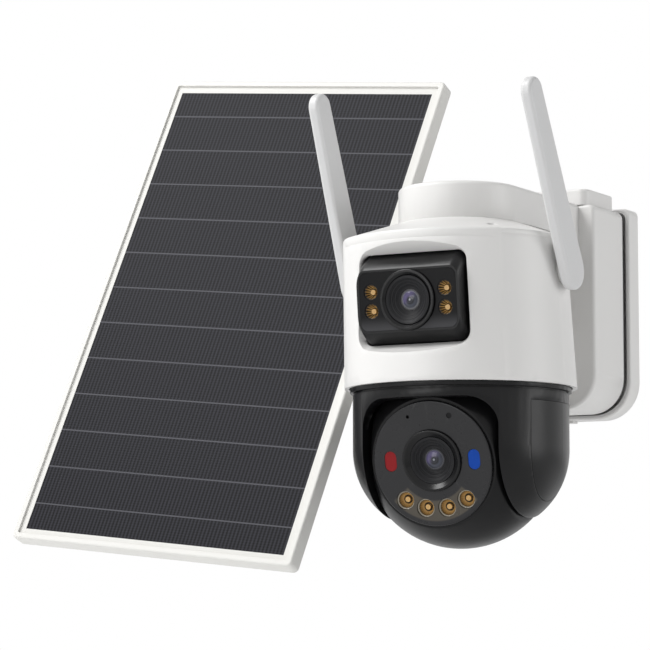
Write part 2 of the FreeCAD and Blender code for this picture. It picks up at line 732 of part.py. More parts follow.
def make_arm():
    body = new_body("arm_shell")
    half = ARM_WIDTH / 2
    plan = sketch_on(body, "XY", ARM_BOTTOM)
    outline(plan, [(-half, -PAN_OUT, half), (Size("0", 0), -PAN_OUT - half, half),
                   (half, -PAN_OUT), (half, -BOX_FRONT), (-half, -BOX_FRONT)])
    pad(body, plan, ARM_TOP - ARM_BOTTOM)
    web = sketch_on(body, "YZ")
    outline(web, [(-BOX_FRONT - GUSSET, ARM_BOTTOM, -GUSSET), (-BOX_FRONT, ARM_BOTTOM - GUSSET),
                  (-BOX_FRONT, ARM_BOTTOM + 2), (-BOX_FRONT - GUSSET, ARM_BOTTOM + 2)])
    pad(body, web, ARM_WIDTH, midplane=True)
    soften(body, size("arm_edge_round", 2.5), flat_in("z", float(ARM_TOP)))
    neck = sketch_on(body, "XY", ARM_BOTTOM)
    circle(neck, 0, -PAN_OUT, half - WALL)
    pocket(body, neck, ARM_TOP - ARM_BOTTOM - WALL, reverse=True)
    duct = sketch_on(body, "XZ", BOX_FRONT)
    rectangle(duct, WALL - half, half - WALL, ARM_BOTTOM + WALL, ARM_TOP - WALL)
    pocket(body, duct, PAN_OUT - BOX_FRONT, reverse=True)
    taps = sketch_on(body, "XZ", BOX_FRONT)
    column = ARM_SCREW_SIDE - 3.4
    for left, right in ((-half + 1, -column), (column, half - 1)):
        rectangle(taps, left, right, ARM_BOTTOM + 1, ARM_TOP - 1)
    pad(body, taps, 8)
    bores = sketch_on(body, "XZ", BOX_FRONT)
    for side in (-1, 1):
        for up in (-1, 1):
            circle(bores, ARM_SCREW_SIDE * side, ARM_MIDDLE + ARM_SCREW_UP * up,
                   SCREW + PIN_GAP)
    pocket(body, bores, 7.5, reverse=True)
    posts = sketch_on(body, "XY", ARM_BOTTOM)
    for number in range(3):
        angle = math.radians(90 + 120 * number)
        circle(posts, NECK_POST * math.cos(angle), NECK_POST * math.sin(angle) - PAN_OUT, 3.2)
    pad(body, posts, ARM_TOP - ARM_BOTTOM - WALL)
    neck_bores = sketch_on(body, "XY", ARM_BOTTOM)
    for number in range(3):
        angle = math.radians(90 + 120 * number)
        circle(neck_bores, NECK_POST * math.cos(angle), NECK_POST * math.sin(angle) - PAN_OUT,
               SCREW + PIN_GAP)
    pocket(body, neck_bores, 9, reverse=True)
    for side in (-1, 1):
        for up in (-1, 1):
            spot = FreeCAD.Vector(float(ARM_SCREW_SIDE) * side, float(WALL - BOX_FRONT),
                                  float(ARM_MIDDLE + ARM_SCREW_UP * up))
            case_screws.append(case_screw(spot, FreeCAD.Vector(0, -1, 0)))
    for number in range(3):
        angle = math.radians(90 + 120 * number)
        spot = FreeCAD.Vector(float(NECK_POST) * math.cos(angle),
                              float(NECK_POST) * math.sin(angle) - float(PAN_OUT),
                              float(ARM_BOTTOM - WALL))
        case_screws.append(case_screw(spot, FreeCAD.Vector(0, 0, 1)))


NECK_POST = size("neck_screw_circle", 25)


# ---------------------------------------------------------------- head

VISOR = size("cap_visor_drop", 2)
CAVITY_LOW = size("rim_recess_depth", 3.6)
CHASSIS_LOW = size("chassis_level", -20)
CHASSIS_THICK = size("chassis_thickness", 2.5)


def head_outline(sketch, centre, radius, flat=FRONT_FLAT):
    """The head's plan: a circle whose front sector is a flatter arc between two creases."""
    side = radius * sine(CREASE_ANGLE)
    front = centre - radius * cosine(CREASE_ANGLE)
    nought = Size("0", 0)
    outline(sketch, [(-side, front, radius * flat), (side, front, radius),
                     (radius, centre, radius), (nought, centre + radius, radius),
                     (-radius, centre, radius)])


def cavity_outline(sketch, centre, radius, chord):
    """The hollow's plan: a circle with a straight front wall behind the window."""
    side = root(radius * radius - chord * chord)
    nought = Size("0", 0)
    outline(sketch, [(-side, centre - chord), (side, centre - chord, radius),
                     (radius, centre, radius), (nought, centre + radius, radius),
                     (-radius, centre, radius)])


def make_head_shell():
    body = new_body("head_shell")
    low = sketch_on(body, "XY", RIM_HEIGHT)
    head_outline(low, -PAN_OUT, RIM_RADIUS, Size("1", 1))
    high = sketch_on(body, "XY", SEAM_HEIGHT)
    head_outline(high, -PAN_OUT - HEAD_LEAN, SEAM_RADIUS)
    loft(body, low, high)
    hollow_low = sketch_on(body, "XY", RIM_HEIGHT + CAVITY_LOW)
    cavity_outline(hollow_low, -PAN_OUT, RIM_RADIUS - WALL, CHORD_LOW)
    hollow_high = sketch_on(body, "XY", SEAM_HEIGHT)
    cavity_outline(hollow_high, -PAN_OUT - HEAD_LEAN, SEAM_RADIUS - WALL, CHORD_HIGH)
    loft(body, hollow_low, hollow_high, cut=True)
    rim = sketch_on(body, "XY", RIM_HEIGHT)
    circle(rim, 0, -PAN_OUT, RIM_RADIUS - WALL)
    pocket(body, rim, CAVITY_LOW, reverse=True)
    brow_small = drum_sketch(body, "XZ", WINDOW_OUT, WINDOW_LEVEL, FACE_LEAN)
    rectangle(brow_small, -WINDOW_WIDTH / 2, WINDOW_WIDTH / 2, -WINDOW_HEIGHT / 2,
              WINDOW_HEIGHT / 2, WINDOW_CORNER, WINDOW_CORNER)
    brow_large = drum_sketch(body, "XZ", WINDOW_OUT + BROW_DEPTH, WINDOW_LEVEL, FACE_LEAN)
    rectangle(brow_large, -WINDOW_WIDTH / 2 - BROW_SIDE, WINDOW_WIDTH / 2 + BROW_SIDE,
              -WINDOW_HEIGHT / 2 - BROW_LOW, WINDOW_HEIGHT / 2 + BROW_UP,
              WINDOW_CORNER + BROW_SIDE, WINDOW_CORNER + BROW_SIDE)
    loft(body, brow_small, brow_large, cut=True)
    window = drum_sketch(body, "XZ", WINDOW_OUT + 1, WINDOW_LEVEL, FACE_LEAN)
    rectangle(window, -WINDOW_WIDTH / 2, WINDOW_WIDTH / 2, -WINDOW_HEIGHT / 2,
              WINDOW_HEIGHT / 2, WINDOW_CORNER, WINDOW_CORNER)
    pocket(body, window, 12)
    sweep = drum_sketch(body, "XY", DRUM_LEVEL, -DRUM_OUT)
    barrel_outline(sweep, DRUM_HALF + 0.7, DRUM_RADIUS + RUN_GAP + 0.2)
    turn(body, sweep, "H_Axis", cut=True)
    visor = sketch_on(body, "XY", SEAM_HEIGHT)
    visor_wedge(visor)
    pocket(body, visor, VISOR)
    hinge = sketch_on(body, "YZ")
    circle(hinge, -PAN_OUT, ANTENNA_PIVOT, HINGE_RADIUS)
    pocket(body, hinge, 160, midplane=True)
    return body


def barrel_outline(sketch, half, radius):
    """Half the lengthwise section of a barrel with rounded ends, above its own axis."""
    nought = Size("0", 0)
    outline(sketch, [(-half, nought), (half, nought), (half, radius - DRUM_ROUND, DRUM_ROUND),
                     (half - DRUM_ROUND, radius), (DRUM_ROUND - half, radius, DRUM_ROUND),
                     (-half, radius - DRUM_ROUND)])


DRUM_ROUND = size("drum_end_round", 5)


def visor_wedge(sketch):
    """The sector of the front panel, seen from above."""
    reach = SEAM_RADIUS * 1.5
    centre = -PAN_OUT - HEAD_LEAN
    nought = Size("0", 0)
    outline(sketch, [(nought, centre), (-reach * sine(CREASE_ANGLE), centre - reach * cosine(CREASE_ANGLE)),
                     (reach * sine(CREASE_ANGLE), centre - reach * cosine(CREASE_ANGLE))])


CHORD_LOW = size("front_wall_chord_low", 44.9)
CHORD_HIGH = size("front_wall_chord_high", 45.5)
WINDOW_OUT = size("window_from_wall", 185.7)
WINDOW_LEVEL = size("window_level", -6.5)
BROW_DEPTH = size("brow_depth", 15)
BROW_SIDE = size("brow_side_flare", 9.5)
BROW_UP = size("brow_upper_flare", 9.5)
BROW_LOW = size("brow_lower_flare", 6.5)
FACE_DEPTH = root(DRUM_RADIUS * DRUM_RADIUS - FACE_HALF * FACE_HALF)
DRUM_OUT = FACE_OUT - FACE_DEPTH * cosine(FACE_LEAN)
DRUM_LEVEL = LENS_HEIGHT + FACE_DEPTH * sine(FACE_LEAN)
HINGE_RADIUS = size("antenna_boss_radius", 6.3)


def make_head_cap():
    body = new_body("head_top_cap")
    centre = -PAN_OUT - HEAD_LEAN
    low = sketch_on(body, "XY", SEAM_HEIGHT - VISOR)
    head_outline(low, centre, SEAM_RADIUS)
    pad(body, low, LIP_HEIGHT + VISOR - LIP_ROUND)
    lip_top = SEAM_HEIGHT + LIP_HEIGHT
    steps = 4
    for step in range(steps):
        rings = []
        for angle in (math.pi / 2 * step / steps, math.pi / 2 * (step + 1) / steps):
            ring = sketch_on(body, "XY", lip_top - LIP_ROUND * (1 - math.sin(angle)))
            head_outline(ring, centre, SEAM_RADIUS - LIP_ROUND * (1 - math.cos(angle)))
            rings.append(ring)
        loft(body, rings[0], rings[1])
    cone_low = sketch_on(body, "XY", lip_top)
    head_outline(cone_low, centre, SEAM_RADIUS - LIP_ROUND)
    cone_high = sketch_on(body, "XY", ARM_BOTTOM)
    head_outline(cone_high, -PAN_OUT, NECK_RADIUS, Size("1", 1))
    loft(body, cone_low, cone_high)
    trim = sketch_on(body, "XY", SEAM_HEIGHT)
    circle(trim, 0, centre, SEAM_RADIUS * 2)
    visor_wedge(trim)
    pocket(body, trim, VISOR)
    inside = sketch_on(body, "XY", SEAM_HEIGHT - VISOR)
    circle(inside, 0, centre, CAP_INNER)
    pocket(body, inside, VISOR + LIP_HEIGHT, reverse=True)
    hollow_low = sketch_on(body, "XY", SEAM_HEIGHT + LIP_HEIGHT - 0.01)
    circle(hollow_low, 0, centre, CAP_INNER)
    hollow_high = sketch_on(body, "XY", ARM_BOTTOM - WALL)
    circle(hollow_high, 0, -PAN_OUT, NECK_RADIUS - WALL)
    loft(body, hollow_low, hollow_high, cut=True)
    wires = sketch_on(body, "XY", ARM_BOTTOM)
    circle(wires, 0, -PAN_OUT, 12)
    for number in range(3):
        angle = math.radians(90 + 120 * number)
        circle(wires, NECK_POST * math.cos(angle), NECK_POST * math.sin(angle) - PAN_OUT,
               SCREW + PIN_GAP)
    pocket(body, wires, WALL + 0.1)
    recess = sketch_on(body, "XY", ARM_BOTTOM)
    for angle in CAP_SCREWS:
        circle(recess, CAP_SCREW_CIRCLE * math.sin(angle), centre - CAP_SCREW_CIRCLE * math.cos(angle),
               2.6)
    pocket(body, recess, ARM_BOTTOM - CAP_SCREW_HEAD)
    posts = sketch_on(body, "XY", CAP_SCREW_HEAD - 0.4)
    for angle in CAP_SCREWS:
        circle(posts, CAP_SCREW_CIRCLE * math.sin(angle), centre - CAP_SCREW_CIRCLE * math.cos(angle),
               3.6)
    pad(body, posts, 3, reverse=True)
    bores = sketch_on(body, "XY", CAP_SCREW_HEAD)
    for angle in CAP_SCREWS:
        circle(bores, CAP_SCREW_CIRCLE * math.sin(angle), centre - CAP_SCREW_CIRCLE * math.cos(angle),
               SCREW + PIN_GAP)
    pocket(body, bores, 8)
    for angle in CAP_SCREWS:
        spot = FreeCAD.Vector(float(CAP_SCREW_CIRCLE) * math.sin(angle),
                              float(centre) - float(CAP_SCREW_CIRCLE) * math.cos(angle),
                              float(CAP_SCREW_HEAD))
        case_screws.append(case_screw(spot, FreeCAD.Vector(0, 0, -1)))
    shaped("case_screws", together(case_screws))


CAP_SCREWS = [math.radians(a) for a in (50, -50, 130, -130)]
LIP_ROUND = size("cap_lip_round", 1.6)
CAP_INNER = size("cap_inner_radius", 53.2)
CAP_SCREW_CIRCLE = size("cap_screw_circle", 50)
CAP_SCREW_HEAD = size("cap_screw_seat", 29)


def make_chassis():
    """The plate across the head that carries the pan bearing, the motor and the boards."""
    level = float(CHASSIS_LOW)
    thick = float(CHASSIS_THICK)
    share = (level - float(RIM_HEIGHT)) / float(SEAM_HEIGHT - RIM_HEIGHT)
    centre = -float(PAN_OUT) - float(HEAD_LEAN) * share
    radius = float(RIM_RADIUS) + (float(SEAM_RADIUS) - float(RIM_RADIUS)) * share
    reach = radius - float(WALL + FIT_GAP) - 0.3
    disc = Part.makeCylinder(reach, thick, FreeCAD.Vector(0, centre, level))
    front = block((-80, -260, level - 1), (80, CRADLE_BACK - float(FACE_OUT) + 3.5, level + thick + 1))
    disc = disc.cut(front)
    pan = FreeCAD.Vector(0, -float(PAN_OUT), level)
    disc = disc.cut(Part.makeCylinder(float(BEARING_OUTER + PIN_GAP), thick, pan))
    motor = FreeCAD.Vector(0, -float(PAN_OUT) + PAN_CENTRES, level)
    disc = disc.cut(Part.makeCylinder(6, thick, motor))
    for angle in CAP_SCREWS:
        across = float(CAP_SCREW_CIRCLE) * math.sin(angle)
        out = centre - float(CAP_SCREW_CIRCLE) * math.cos(angle) * 0.985
        if out < CRADLE_BACK - float(FACE_OUT) + 7:
            continue
        foot = FreeCAD.Vector(across, out, level + thick)
        disc = disc.fuse(Part.makeCylinder(3.2, 12, foot))
    for side in (-1, 1):
        foot = FreeCAD.Vector(side * 22, -float(PAN_OUT) + 6, level + thick)
        disc = disc.fuse(Part.makeCylinder(2.6, 7, foot))
    shaped("head_chassis", disc.fuse(drum_cradle()))


BEARING_OUTER = size("pan_bearing_outer", 14)
BEARING_HIGH = size("pan_bearing_height", 4.4)
PAN_TEETH = 60
PAN_PINION_TEETH = 12
PAN_CENTRES = float(GEAR_MODULE) * (PAN_TEETH + PAN_PINION_TEETH) / 2


def make_pan_drive():
    level = float(CHASSIS_LOW)
    pan = FreeCAD.Vector(0, -float(PAN_OUT), level - 0.9)
    race = Part.makeCylinder(float(BEARING_OUTER), float(BEARING_HIGH), pan)
    race = race.cut(Part.makeCylinder(float(HUB_RADIUS + PIN_GAP), float(BEARING_HIGH), pan))
    flange = Part.makeCylinder(float(BEARING_OUTER) + 1.6, 0.8, pan)
    flange = flange.cut(Part.makeCylinder(float(HUB_RADIUS + PIN_GAP), 0.8, pan))
    shaped("pan_bearing", race.fuse(flange))
    foot = FreeCAD.Vector(0, -float(PAN_OUT) + PAN_CENTRES, level + float(CHASSIS_THICK))
    can = Part.makeCylinder(12, 16, foot)
    can = can.makeFillet(1.2, [e for e in can.Edges if e.BoundBox.ZLength < 0.01
                               and e.BoundBox.ZMax > foot.z + 15])
    can = can.cut(Part.makeCylinder(2, 3, foot))
    ears = block((-17, foot.y - 3.5, foot.z), (17, foot.y + 3.5, foot.z + 1.4))
    ears = ears.cut(Part.makeCylinder(5, 3, foot))
    shaped("pan_motor", can.fuse(ears))


def make_pan_pinion():
    level = float(GEAR_LEVEL)
    width = float(GEAR_WIDE)
    space_to_gear = -math.pi / 2 + math.pi / PAN_PINION_TEETH
    solid = gear(PAN_PINION_TEETH, float(GEAR_MODULE), width, space_to_gear, 0)
    shaft = Part.makeCylinder(1.9, float(CHASSIS_LOW + CHASSIS_THICK) - level + 2.8)
    solid = solid.fuse(shaft)
    solid.translate(FreeCAD.Vector(0, -float(PAN_OUT) + PAN_CENTRES, level))
    shaped("pan_pinion", solid)


def make_pan_gear():
    solid = gear(PAN_TEETH, float(GEAR_MODULE), float(GEAR_WIDE), math.pi / 2,
                 float(HUB_RADIUS + PIN_GAP))
    solid.translate(FreeCAD.Vector(0, -float(PAN_OUT), float(GEAR_LEVEL)))
    shaped("pan_gear", solid)


GEAR_LEVEL = size("pan_gear_level", -26.2)
GEAR_WIDE = size("pan_gear_width", 4)


def make_head_electronics():
    level = float(CHASSIS_LOW + CHASSIS_THICK) + 7
    middle = -float(PAN_OUT)
    board = block((-30, middle - 12, level), (30, middle + 14, level + 1.6))
    board = board.cut(Part.makeCylinder(10, 3, FreeCAD.Vector(0, middle, level - 1)))
    board = board.cut(Part.makeCylinder(12.6, 3, FreeCAD.Vector(0, middle + PAN_CENTRES, level - 1)))
    for low, out, wide, deep, high in ((-26, -9, 13, 13, 1.4), (14, -10, 12, 9, 1.6), (-25, 6, 8, 6, 2.2)):
        near = middle + out
        chip = block((low, near, level + 1.6), (low + wide, near + deep, level + 1.6 + high))
        board = board.fuse(chip)
    shaped("main_board", board)
    seat = float(CHASSIS_LOW + CHASSIS_THICK)
    cone_spot = FreeCAD.Vector(-38, middle - 8, seat)
    speaker = Part.makeCylinder(10, 3.2, cone_spot)
    speaker = speaker.fuse(Part.makeCylinder(6.5, 6.5, cone_spot))
    speaker = speaker.cut(Part.makeCone(8.6, 4, 1.4, cone_spot))
    shaped("speaker", speaker)


def drum_cradle():
    """Two ears and a back bar, bolted to the chassis, that hold the drum's trunnions."""
    out = -float(DRUM_OUT)
    level = float(DRUM_LEVEL)
    near = float(DRUM_HALF + RUN_GAP)
    bar = CRADLE_BACK - float(FACE_OUT)
    cradle = block((-near - 3, bar, level - 9), (near + 3, bar + 2.5, level + 5))
    for side in (-1, 1):
        low, high = (near, near + 3) if side > 0 else (-near - 3, -near)
        ear = block((low, out - 5, level - 5), (high, bar + 2.5, level + 5))
        cradle = cradle.fuse(ear)
    floor = float(CHASSIS_LOW + CHASSIS_THICK)
    foot = block((-18, bar, floor), (18, bar + 7, floor + 2.5))
    web = block((-18, bar, floor), (18, bar + 2.5, level))
    cradle = cradle.fuse(foot).fuse(web)
    bore = rod(TRUNNION + PIN_GAP, FreeCAD.Vector(-45, out, level), FreeCAD.Vector(45, out, level))
    return cradle.cut(bore)


CRADLE_BACK = float(size("cradle_behind_face", 28.5))
TRUNNION = size("drum_trunnion_radius", 3)
DRUM_BACK = size("drum_depth_behind_axis", 5)
FACE_RECESS = size("face_panel_recess", 1.3)


def drum_place():
    spot = FreeCAD.Vector(0, -float(DRUM_OUT), float(DRUM_LEVEL))
    return FreeCAD.Placement(spot, FreeCAD.Rotation(FreeCAD.Vector(1, 0, 0), float(FACE_LEAN)))


def make_lens_drum():
    body = new_body("upper_lens_drum")
    profile = sketch_on(body, "YZ")
    rear = root(DRUM_RADIUS * DRUM_RADIUS - DRUM_BACK * DRUM_BACK)
    nought = Size("0", 0)
    outline(profile, [(-FACE_DEPTH, -FACE_HALF, DRUM_RADIUS), (nought, -DRUM_RADIUS, DRUM_RADIUS),
                      (DRUM_BACK, -rear), (DRUM_BACK, rear, DRUM_RADIUS),
                      (nought, DRUM_RADIUS, DRUM_RADIUS), (-FACE_DEPTH, FACE_HALF)])
    pad(body, profile, DRUM_HALF * 2, midplane=True)

    for side in (-1, 1):
        ends = sketch_on(body, "XY")
        near = (DRUM_HALF - DRUM_ROUND) * side
        far = (DRUM_HALF + DRUM_ROUND) * side
        outline(ends, [(DRUM_HALF * side, DRUM_RADIUS - DRUM_ROUND, DRUM_ROUND * side),
                       (near, DRUM_RADIUS), (near, DRUM_RADIUS * 2), (far, DRUM_RADIUS * 2),
                       (far, DRUM_RADIUS - DRUM_ROUND)])
        turn(body, ends, "H_Axis", cut=True)
    panel = sketch_on(body, "XZ", FACE_DEPTH)
    rectangle(panel, -FACE_PANEL_HALF, FACE_PANEL_HALF, -FACE_PANEL_UP, FACE_PANEL_UP,
              FACE_PANEL_CORNER, FACE_PANEL_CORNER)
    pocket(body, panel, FACE_RECESS)
    hollow = sketch_on(body, "XZ", -DRUM_BACK)
    rectangle(hollow, WALL - DRUM_HALF, DRUM_HALF - WALL, 1 - FACE_HALF, FACE_HALF - 1)
    pocket(body, hollow, FACE_DEPTH + DRUM_BACK - FACE_RECESS - WALL, reverse=True)
    openings = sketch_on(body, "XZ", FACE_DEPTH)
    circle(openings, 0, 0, LENS_RING + FIT_GAP)
    for side in (-1, 1):
        for up in (-1, 1):
            circle(openings, UPPER_LED_SIDE * side, UPPER_LED_STEP * up, UPPER_LED + FIT_GAP)
    pocket(body, openings, 8)
    trunnions = sketch_on(body, "YZ", DRUM_HALF - 1)
    circle(trunnions, 0, 0, TRUNNION)
    pad(body, trunnions, RUN_GAP + 3.6)
    other = sketch_on(body, "YZ", 1 - DRUM_HALF)
    circle(other, 0, 0, TRUNNION)
    pad(body, other, RUN_GAP + 3.6, reverse=True)
    body.Placement = drum_place()


FACE_PANEL_HALF = DRUM_HALF - 1.6
FACE_PANEL_UP = FACE_HALF - 1.1
FACE_PANEL_CORNER = size("face_panel_corner", 4)


CHIP_RADIUS = 1.4
CHIP_HIGH = 2.0
CUP_FLOOR = 0.8


def cup(outer, inner, front, back, spot):
    """A reflector: a ring with a conical bowl that opens to the front (-Y), round its lamp."""
    start = spot + FreeCAD.Vector(0, front, 0)
    way = FreeCAD.Vector(0, 1, 0)
    body = Part.makeCylinder(outer, back - front, start, way)
    bowl = Part.makeCone(outer - 0.35, inner, back - front - CUP_FLOOR, start, way)
    lamp = Part.makeCylinder(CHIP_RADIUS + 0.15, back - front, start, way)
    return body.cut(bowl).cut(lamp)


def make_upper_optics():
    face = -float(FACE_DEPTH)
    recess = float(FACE_RECESS)
    panel = block((-float(FACE_PANEL_HALF) + 0.15, face, -float(FACE_PANEL_UP) + 0.15),
                  (float(FACE_PANEL_HALF) - 0.15, face + recess, float(FACE_PANEL_UP) - 0.15))
    corners = [e for e in panel.Edges if abs(e.BoundBox.YLength - recess) < 0.01]
    panel = panel.makeFillet(float(FACE_PANEL_CORNER), corners)
    centre = FreeCAD.Vector(0, face - 1, 0)
    back = FreeCAD.Vector(0, 1, 0)
    panel = panel.cut(Part.makeCylinder(float(LENS_RING + FIT_GAP), 5, centre, back))
    spots = [FreeCAD.Vector(float(UPPER_LED_SIDE) * side, 0, float(UPPER_LED_STEP) * up)
             for side in (-1, 1) for up in (-1, 1)]
    for spot in spots:
        panel = panel.cut(Part.makeCylinder(float(UPPER_LED + FIT_GAP), 5, spot + centre, back))
    shaped("upper_face_panel", panel, drum_place())
    board_front = face + 4.6
    cups = [cup(float(UPPER_LED), 1.7, face + 0.5, board_front, spot) for spot in spots]
    shaped("upper_led_reflectors", together(cups), drum_place())
    ring = Part.makeCylinder(float(LENS_RING), 5.2, FreeCAD.Vector(0, face - 1.5, 0), back)
    ring = ring.makeFillet(0.7, [e for e in ring.Edges if abs(e.BoundBox.YMax - face + 1.5) < 0.01])
    brim = FreeCAD.Vector(0, face - 1.5, 0)
    ring = ring.cut(Part.makeCone(float(LENS_RING) - 1.6, float(LENS_BARREL), 1.8, brim, back))
    ring = ring.cut(Part.makeCylinder(float(LENS_BARREL), 9, brim, back))
    shaped("upper_lens_ring", ring, drum_place())
    barrel = Part.makeCylinder(float(LENS_BARREL), 20, FreeCAD.Vector(0, face - 0.4, 0), back)
    step_radius = float(LENS_BARREL) - 1.2
    depth = 0.0
    for number in range(3):
        start = FreeCAD.Vector(0, face - 0.4 + depth, 0)
        barrel = barrel.cut(Part.makeCone(step_radius, step_radius - 1.2, 1.1, start, back))
        step_radius -= 1.7
        depth += 1.1
    barrel = barrel.cut(Part.makeCylinder(float(LENS_GLASS), 5, FreeCAD.Vector(0, face - 0.4, 0), back))
    shaped("upper_lens_barrel", barrel, drum_place())
    glass = Part.makeCylinder(float(LENS_GLASS) - 0.05, 1.6, FreeCAD.Vector(0, face + 3.0, 0), back)
    dome_radius = 9.0
    dome = Part.makeSphere(dome_radius, FreeCAD.Vector(0, face + 2.0 + dome_radius, 0))
    rim = FreeCAD.Vector(0, face + 1.9, 0)
    dome = dome.common(Part.makeCylinder(float(LENS_GLASS) - 0.05, 1.9, rim, back))
    shaped("upper_lens_glass", glass.fuse(dome), drum_place())
    sensor = block((-13, face + 19.6, -13), (13, face + 21.2, 13))
    sensor = sensor.fuse(block((-6, face + 21.2, -6), (6, face + 22.4, 6)))
    reach = float(DRUM_HALF - WALL) - 0.2
    board = block((-reach, board_front, -12), (reach, board_front + 1.4, 12))
    board = board.cut(Part.makeCylinder(float(LENS_RING) - 0.5, 9, FreeCAD.Vector(0, face, 0), back))
    for spot in spots:
        chip = FreeCAD.Vector(spot.x, board_front - CHIP_HIGH, spot.z)
        board = board.fuse(Part.makeCylinder(CHIP_RADIUS, CHIP_HIGH, chip, back))
    shaped("upper_boards", together([sensor, board]), drum_place())


# ---------------------------------------------------------------- antennas

def antenna_place(side):
    lean = float(LEAN_RIGHT) if side > 0 else float(LEAN_LEFT)
    spot = FreeCAD.Vector(0, -float(PAN_OUT), float(ANTENNA_PIVOT))
    return FreeCAD.Placement(spot, FreeCAD.Rotation(FreeCAD.Vector(1, 0, 0), lean))


hinges = []


def make_antenna(side):
    name = "right" if side > 0 else "left"
    near = ANTENNA_SIDE + RUN_GAP
    body = new_body("antenna_" + name)
    plane = sketch_on(body, "YZ", near if side > 0 else -near)
    rise = ANTENNA_LONG - ANTENNA_TIP
    slope = (ANTENNA_ROOT - ANTENNA_TIP) / rise
    level = root(1 - slope * slope)
    nought = Size("0", 0)
    outline(plane, [(-ANTENNA_ROOT * level, ANTENNA_ROOT * slope, ANTENNA_ROOT),
                    (nought, -ANTENNA_ROOT, ANTENNA_ROOT),
                    (ANTENNA_ROOT * level, ANTENNA_ROOT * slope),
                    (ANTENNA_TIP * level, rise + ANTENNA_TIP * slope, ANTENNA_TIP),
                    (nought, ANTENNA_LONG, ANTENNA_TIP),
                    (-ANTENNA_TIP * level, rise + ANTENNA_TIP * slope)])
    pad(body, plane, ANTENNA_THICK, reverse=side < 0)
    far = float(near + ANTENNA_THICK) * side
    close = float(near) * side

    def rims(edge):
        box = edge.BoundBox
        level_x = box.XMin
        return box.XLength < 0.01 and min(abs(level_x - far), abs(level_x - close)) < 0.01

    soften(body, Size("(dims.antenna_thickness * 0.32)", float(ANTENNA_THICK) * 0.32), rims)
    bore = sketch_on(body, "YZ", near if side > 0 else -near)
    circle(bore, 0, 0, ANTENNA_PIN + PIN_GAP)
    pocket(body, bore, ANTENNA_THICK - 1.6, reverse=side > 0)
    body.Placement = antenna_place(side)
    start = float(ANTENNA_SIDE) * side
    deep = 12.0 * side
    way = FreeCAD.Vector(side, 0, 0)
    pivot = FreeCAD.Vector(start - deep, -float(PAN_OUT), float(ANTENNA_PIVOT))
    boss = Part.makeCylinder(float(HINGE_RADIUS) - 0.15, 12, pivot, way)
    sunk = FreeCAD.Vector(start - 0.8 * side, pivot.y, pivot.z)
    dish = Part.makeCylinder(float(HINGE_RADIUS) - 1.3, 0.8, sunk, way)
    dish = dish.cut(Part.makeCylinder(float(ANTENNA_PIN) + 1.2, 0.8, sunk, way))
    flange = Part.makeCylinder(float(HINGE_RADIUS) + 2, 1.5, pivot, way)
    pin = Part.makeCylinder(float(ANTENNA_PIN), float(ANTENNA_THICK) + float(RUN_GAP) - 2.2,
                            FreeCAD.Vector(start, pivot.y, pivot.z), way)
    hinges.append(boss.cut(dish).fuse(flange).fuse(pin))


# ---------------------------------------------------------------- panning yoke

def pan_place(height=0.0):
    """The pan axis at the rim's level, turned to the yoke's rest angle."""
    spot = FreeCAD.Vector(0, -float(PAN_OUT), float(RIM_HEIGHT) + height)
    return FreeCAD.Placement(spot, FreeCAD.Rotation(FreeCAD.Vector(0, 0, 1), float(PAN_REST)))


COLLAR_RADIUS = RIM_RADIUS - WALL - size("collar_gap", 0.6)
COLLAR_LOW = size("collar_below_rim", 1.2)
GROOVE_DEEP = size("collar_groove_depth", 1.1)
CAVITY_RADIUS = BALL_RADIUS + BALL_GAP
DOME_WALL = size("dome_wall", 2)
SHAFT_GAP = size("hub_wire_bore", 6)


def u_outline(sketch, radius, low, high):
    """An upright slot shape: straight sides above a half-round lower end at the given level."""
    nought = Size("0", 0)
    outline(sketch, [(-radius, low, radius), (nought, low - radius, radius), (radius, low),
                     (radius, high), (-radius, high)])


